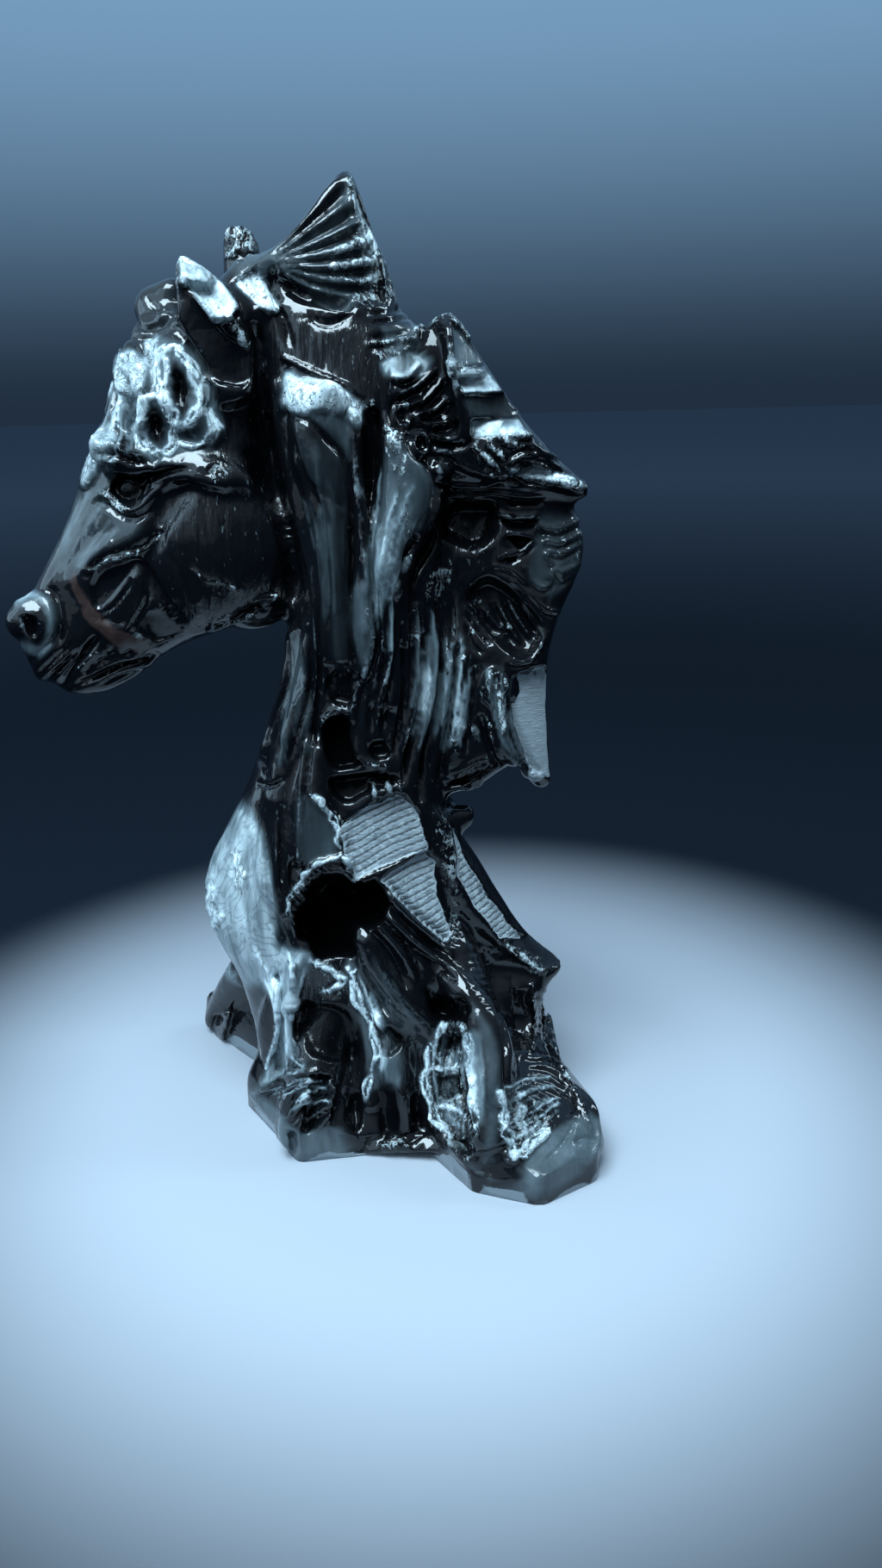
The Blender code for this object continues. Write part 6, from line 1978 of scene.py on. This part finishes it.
# The grey sheen and the bright highlight that are painted into satin glass.
SATIN_SHEEN = (0.10, 0.135, 0.155, 1)
SATIN_HIGHLIGHT = (0.62, 0.74, 0.79, 1)
# Pale crests, partly wear and partly painted highlight.
WORN_AND_HIGHLIT = (0.20, 0.245, 0.275, 1)
RUST = ((0.022, 0.013, 0.012, 1), (0.045, 0.029, 0.026, 1))
# Ground glass, from painted shade in its pits to a painted highlight on its crests.
GROUND_SHADED_TO_LIT = ((0.10, 0.13, 0.145, 1), (0.46, 0.55, 0.59, 1))
SAWN = ((0.17, 0.21, 0.24, 1), (0.40, 0.47, 0.51, 1))
# Painted shade lines at the steps of sawn glass.
SAWN_STEP_SHADE = (0.03, 0.04, 0.05, 1)
# Painted shade inside hollows.
HOLLOW_SHADE = (0.0015, 0.0017, 0.002, 1)


def volcanic_glass(material):
    finish = Finish(material)
    place = finish.node("ShaderNodeTexCoord", "Object")
    flakes = finish.noise(place, 330.0, 4.0, 0.6, bend=1.6)
    fine = finish.noise(place, 1100.0, 2.0)
    blotch = finish.noise(place, 120.0, 2.0)
    frost = finish.attribute("frost")
    crest = finish.attribute("crest")
    # Ground glass reaches further over the crests, as a painted highlight.
    rim = finish.ramp(crest, 0.0, 0.25)
    grain = finish.noise(place, 700.0, 3.0, 0.65, (1, 1, 0.45), 0.8)
    ground = finish.ramp(frost * 0.5 + flakes * 1.6 + rim * 0.2 + grain * 1.7 - 1.72, 0.40, 0.62)
    ground = ground * finish.ramp(frost, 0.05, 0.3)
    wiped = finish.noise(place, 150.0, 3.0, 0.6, (1, 1, 0.13), 0.4)
    satin = finish.attribute("satin") * (0.35 + blotch * 0.3 + wiped)
    dull = finish.attribute("dull")
    hatch = finish.attribute("hatch")
    scratches = finish.noise(place, 420.0, 3.0, 0.6, (1, 1, 0.1), 0.3)
    # Painted glints in hatched glass.
    painted_glints = finish.ramp(finish.noise(place, 900.0, 2.0, 0.6, (1, 1, 0.3)), 0.66, 0.74) * hatch
    sawn = finish.ramp(finish.attribute("sawn") + flakes * 0.3, 0.5, 0.75)
    ribbed = finish.ramp(finish.attribute("sawn"), 0.84, 0.96)
    vein = finish.ramp(finish.attribute("vein") + blotch * 0.6 - 0.3, 0.3, 0.7)
    cloud = finish.noise(place, 35.0, 3.0)
    black = finish.mix(cloud, BLACK, CLOUDED_BLACK)
    black = finish.mix(painted_glints * 0.7, black, GLINT)
    # Satin glass gets a painted grey sheen, and where it is strong a painted highlight between contour
    # lines.
    black = finish.mix(satin * satin, black, SATIN_SHEEN)
    swirls = finish.noise(place, 75.0, 3.0, 0.55, (1, 1, 0.55), 1.1) * 11.0
    contour = finish.ramp(swirls.fraction(), 0.0, 0.42)
    lit = finish.ramp(satin, 0.9, 1.7) * (0.4 + contour * 0.6)
    black = finish.mix(lit, black, SATIN_HIGHLIGHT)
    # Crests turn pale, partly as wear and partly as painted highlight.
    worn_and_highlit = finish.ramp(crest + fine * 0.15 + blotch * 0.15, 0.34, 0.52)
    black = finish.mix(worn_and_highlit * 0.8, black, WORN_AND_HIGHLIT)
    rust = finish.mix(flakes, *RUST)
    # Ground glass is painted lighter on its crests as highlights and darker in its pits as shade.
    chipped_and_highlit = finish.ramp(crest + fine * 0.4, 0.1, 0.45)
    pale = finish.mix(chipped_and_highlit, *GROUND_SHADED_TO_LIT)
    saw_lines = finish.noise(place, 260.0, 3.0, 0.6, (1, 1, 5))
    cut = finish.mix(saw_lines, *SAWN)
    bend = finish.node("ShaderNodeTexNoise", "Fac", {"noise_dimensions": "4D"}, {
        "Vector": place, "W": SEED, "Scale": RIB_BEND, "Detail": 1.0, "Roughness": 0.6})
    slope = finish.axis("Z", place) - finish.axis("X", place) * RIB_LEAN
    turns = slope * (1 / (RIB_PITCH * MM)) + bend * RIB_WANDER
    # Painted shade lines at the steps of the sawn ribs.
    step_shade = (1 - finish.ramp(turns.fraction() + flakes * 0.4, 0.26, 0.60)) * ribbed
    cut = finish.mix(step_shade * 0.85, cut, SAWN_STEP_SHADE)
    colour = finish.mix(ground, finish.mix(vein, black, rust), pale)
    finish.set("Base Color", finish.mix(sawn, colour, cut))
    smear = finish.noise(place, 60.0, 3.0)
    finish.set("Roughness", 0.04 + smear * 0.05 + satin * 0.19 + ground * 0.10 + sawn * 0.36 + vein * 0.12
               + hatch * 0.12)
    finish.set("IOR", 1.5)
    ripples = finish.noise(place, 130.0, 2.0, 0.5) * 0.6 + finish.noise(place, 420.0, 1.0) * 0.12
    streaks = finish.noise(place, 500.0, 2.0, 0.6, (1, 1, 6))
    flow = finish.noise(place, 360.0, 2.0, 0.5, (1, 1, 0.6), 1.4)
    height = ripples * (1 - ground) + flow * ground * 1.8 + streaks * sawn * 0.5 + fine * satin * 0.1
    height = height + scratches * hatch * 0.9
    bump = finish.node("ShaderNodeBump", "Normal", values={
        "Height": height, "Strength": 1.0, "Distance": 0.0005})
    finish.set("Normal", bump)
    # Painted shade: a black matte shader mixed in inside the hollows.
    dark = add_node(finish.tree, "ShaderNodeBsdfDiffuse", values={"Color": HOLLOW_SHADE})
    both = add_node(finish.tree, "ShaderNodeMixShader",
                    values={0: dull, 1: finish.shader.outputs[0], 2: dark.outputs[0]})
    finish.tree.links.new(both.outputs[0], finish.tree.nodes["Material Output"].inputs["Surface"])


volcanic_glass(glass)
print("glass with", len(glass.node_tree.nodes), "nodes")

# %% [markdown]
# ## Stage, light and camera
# The floor's colour is a painted pool of light, pale round the work and dark further out, in a dark
# room before a blue grey backdrop. One broad soft lamp overhead gives the long highlights, two weak
# ones on the left light the face, and one on the right keeps the mane from going black. The lamps
# stand out of the picture.

# %% Stage

FLOOR_REACH = 6.0


def floor_with_painted_pool():
    mesh = bmesh.new()
    bmesh.ops.create_grid(mesh, x_segments=1, y_segments=1, size=FLOOR_REACH)
    data = bpy.data.meshes.new("floor")
    mesh.to_mesh(data)
    mesh.free()
    floor = placed("floor", data)
    paint = bpy.data.materials.new("pale floor")
    finish = Finish(paint)
    place = finish.node("ShaderNodeTexCoord", "Object")
    centre = finish.node("ShaderNodeVectorMath", "Value", {"operation": "LENGTH"}, {0: place})
    # A painted pool of light: pale near the centre, dark further out.
    pale = finish.mix(finish.noise(place, 3.0), (0.31, 0.335, 0.38, 1), (0.35, 0.38, 0.425, 1))
    painted_falloff = finish.mix(finish.ramp(centre, 0.5, 2.5), (0.006, 0.009, 0.014, 1), (0.07, 0.095, 0.135, 1))
    finish.set("Base Color", finish.mix(finish.ramp(centre, 0.10, 0.235), pale, painted_falloff))
    finish.set("Roughness", 1.0)
    finish.set("Specular IOR Level", 0.0)
    data.materials.append(paint)
    return floor


def softbox(name, place, target, size, radiance, colour):
    """A rectangular lamp of an even brightness, turned to the target."""
    lamp = bpy.data.lights.new(name, "AREA")
    lamp.shape = "RECTANGLE"
    lamp.size, lamp.size_y = size
    lamp.energy = radiance * math.pi * size[0] * size[1]
    lamp.color = colour
    holder = placed(name, lamp)
    holder.visible_camera = False
    holder.location = place
    holder.rotation_euler = (Vector(target) - Vector(place)).to_track_quat("-Z", "Y").to_euler()


floor = floor_with_painted_pool()
# Each lamp is its name, place, target, size, radiance and colour.
each(softbox, [
    ("overhead", (-0.22, -0.36, 1.02), (-0.03, 0, 0.15), (0.66, 0.52), 44, (0.66, 0.87, 1)),
    ("left", (-0.95, 0.05, 0.45), (-0.03, 0, 0.17), (0.60, 0.55), 4.2, (0.50, 0.78, 1)),
    ("daylight", (-0.85, -0.50, 0.78), (-0.03, 0, 0.17), (0.95, 0.80), 2.7, (0.50, 0.78, 1)),
    ("right", (0.70, 0.10, 0.75), (0, 0, 0.17), (0.18, 0.36), 26, (0.68, 0.88, 1))])


def room_light():
    """A dark room, a blue grey backdrop behind the work, and soft daylight from the upper left."""
    world = bpy.data.worlds.new("room")
    bpy.context.scene.world = world
    finish = Finish(world, "Background")
    way = finish.node("ShaderNodeTexCoord", "Generated")

    def toward(direction, low, high):
        """How far a direction of view turns to the given one, from 0 to 1."""
        turned = finish.node("ShaderNodeVectorMath", "Value", {"operation": "DOT_PRODUCT"},
                             {0: way, 1: direction})
        return finish.ramp(turned, low, high)

    rise = toward((0, 0, 1), -0.02, 0.9)
    room = finish.mix(rise, (0.010, 0.014, 0.023, 1), (0.45, 0.6, 0.75, 1))
    rise = toward((0, 0, 1), -0.03, 0.29)
    backdrop = finish.mix(rise, (0.030, 0.056, 0.10, 1), (0.38, 0.70, 1.08, 1))
    around = finish.mix(toward((0, 1, 0), -0.3, 0.4), room, backdrop)
    from_the_left = toward((-0.75, -0.35, 0.55), 0.2, 1.0)
    finish.set("Color", finish.mix(from_the_left, around, (0.75, 0.95, 1.15, 1)))


room_light()
bpy.context.scene.view_settings.view_transform = "Standard"
bpy.context.scene.view_settings.exposure = -1.0

# %% Camera

PHOTO_HEIGHT = 1820
FOCAL_PIXELS = 1367
PITCH = math.radians(19.48)
ROLL = math.radians(-1.42)
CAMERA_PLACE = (0.0035, -0.3527, 0.2339)

camera_data = bpy.data.cameras.new("camera")
camera_data.sensor_fit = "VERTICAL"
camera_data.sensor_height = 36
camera_data.lens = FOCAL_PIXELS / PHOTO_HEIGHT * camera_data.sensor_height
camera = placed("camera", camera_data)
aim = Matrix.Rotation(math.pi / 2 - PITCH, 4, "X") @ Matrix.Rotation(ROLL, 4, "Z")
camera.matrix_world = Matrix.Translation(CAMERA_PLACE) @ aim
bpy.context.scene.camera = camera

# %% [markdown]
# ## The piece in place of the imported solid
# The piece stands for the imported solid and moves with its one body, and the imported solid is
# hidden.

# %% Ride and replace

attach(body, "root")
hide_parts("horse_head")
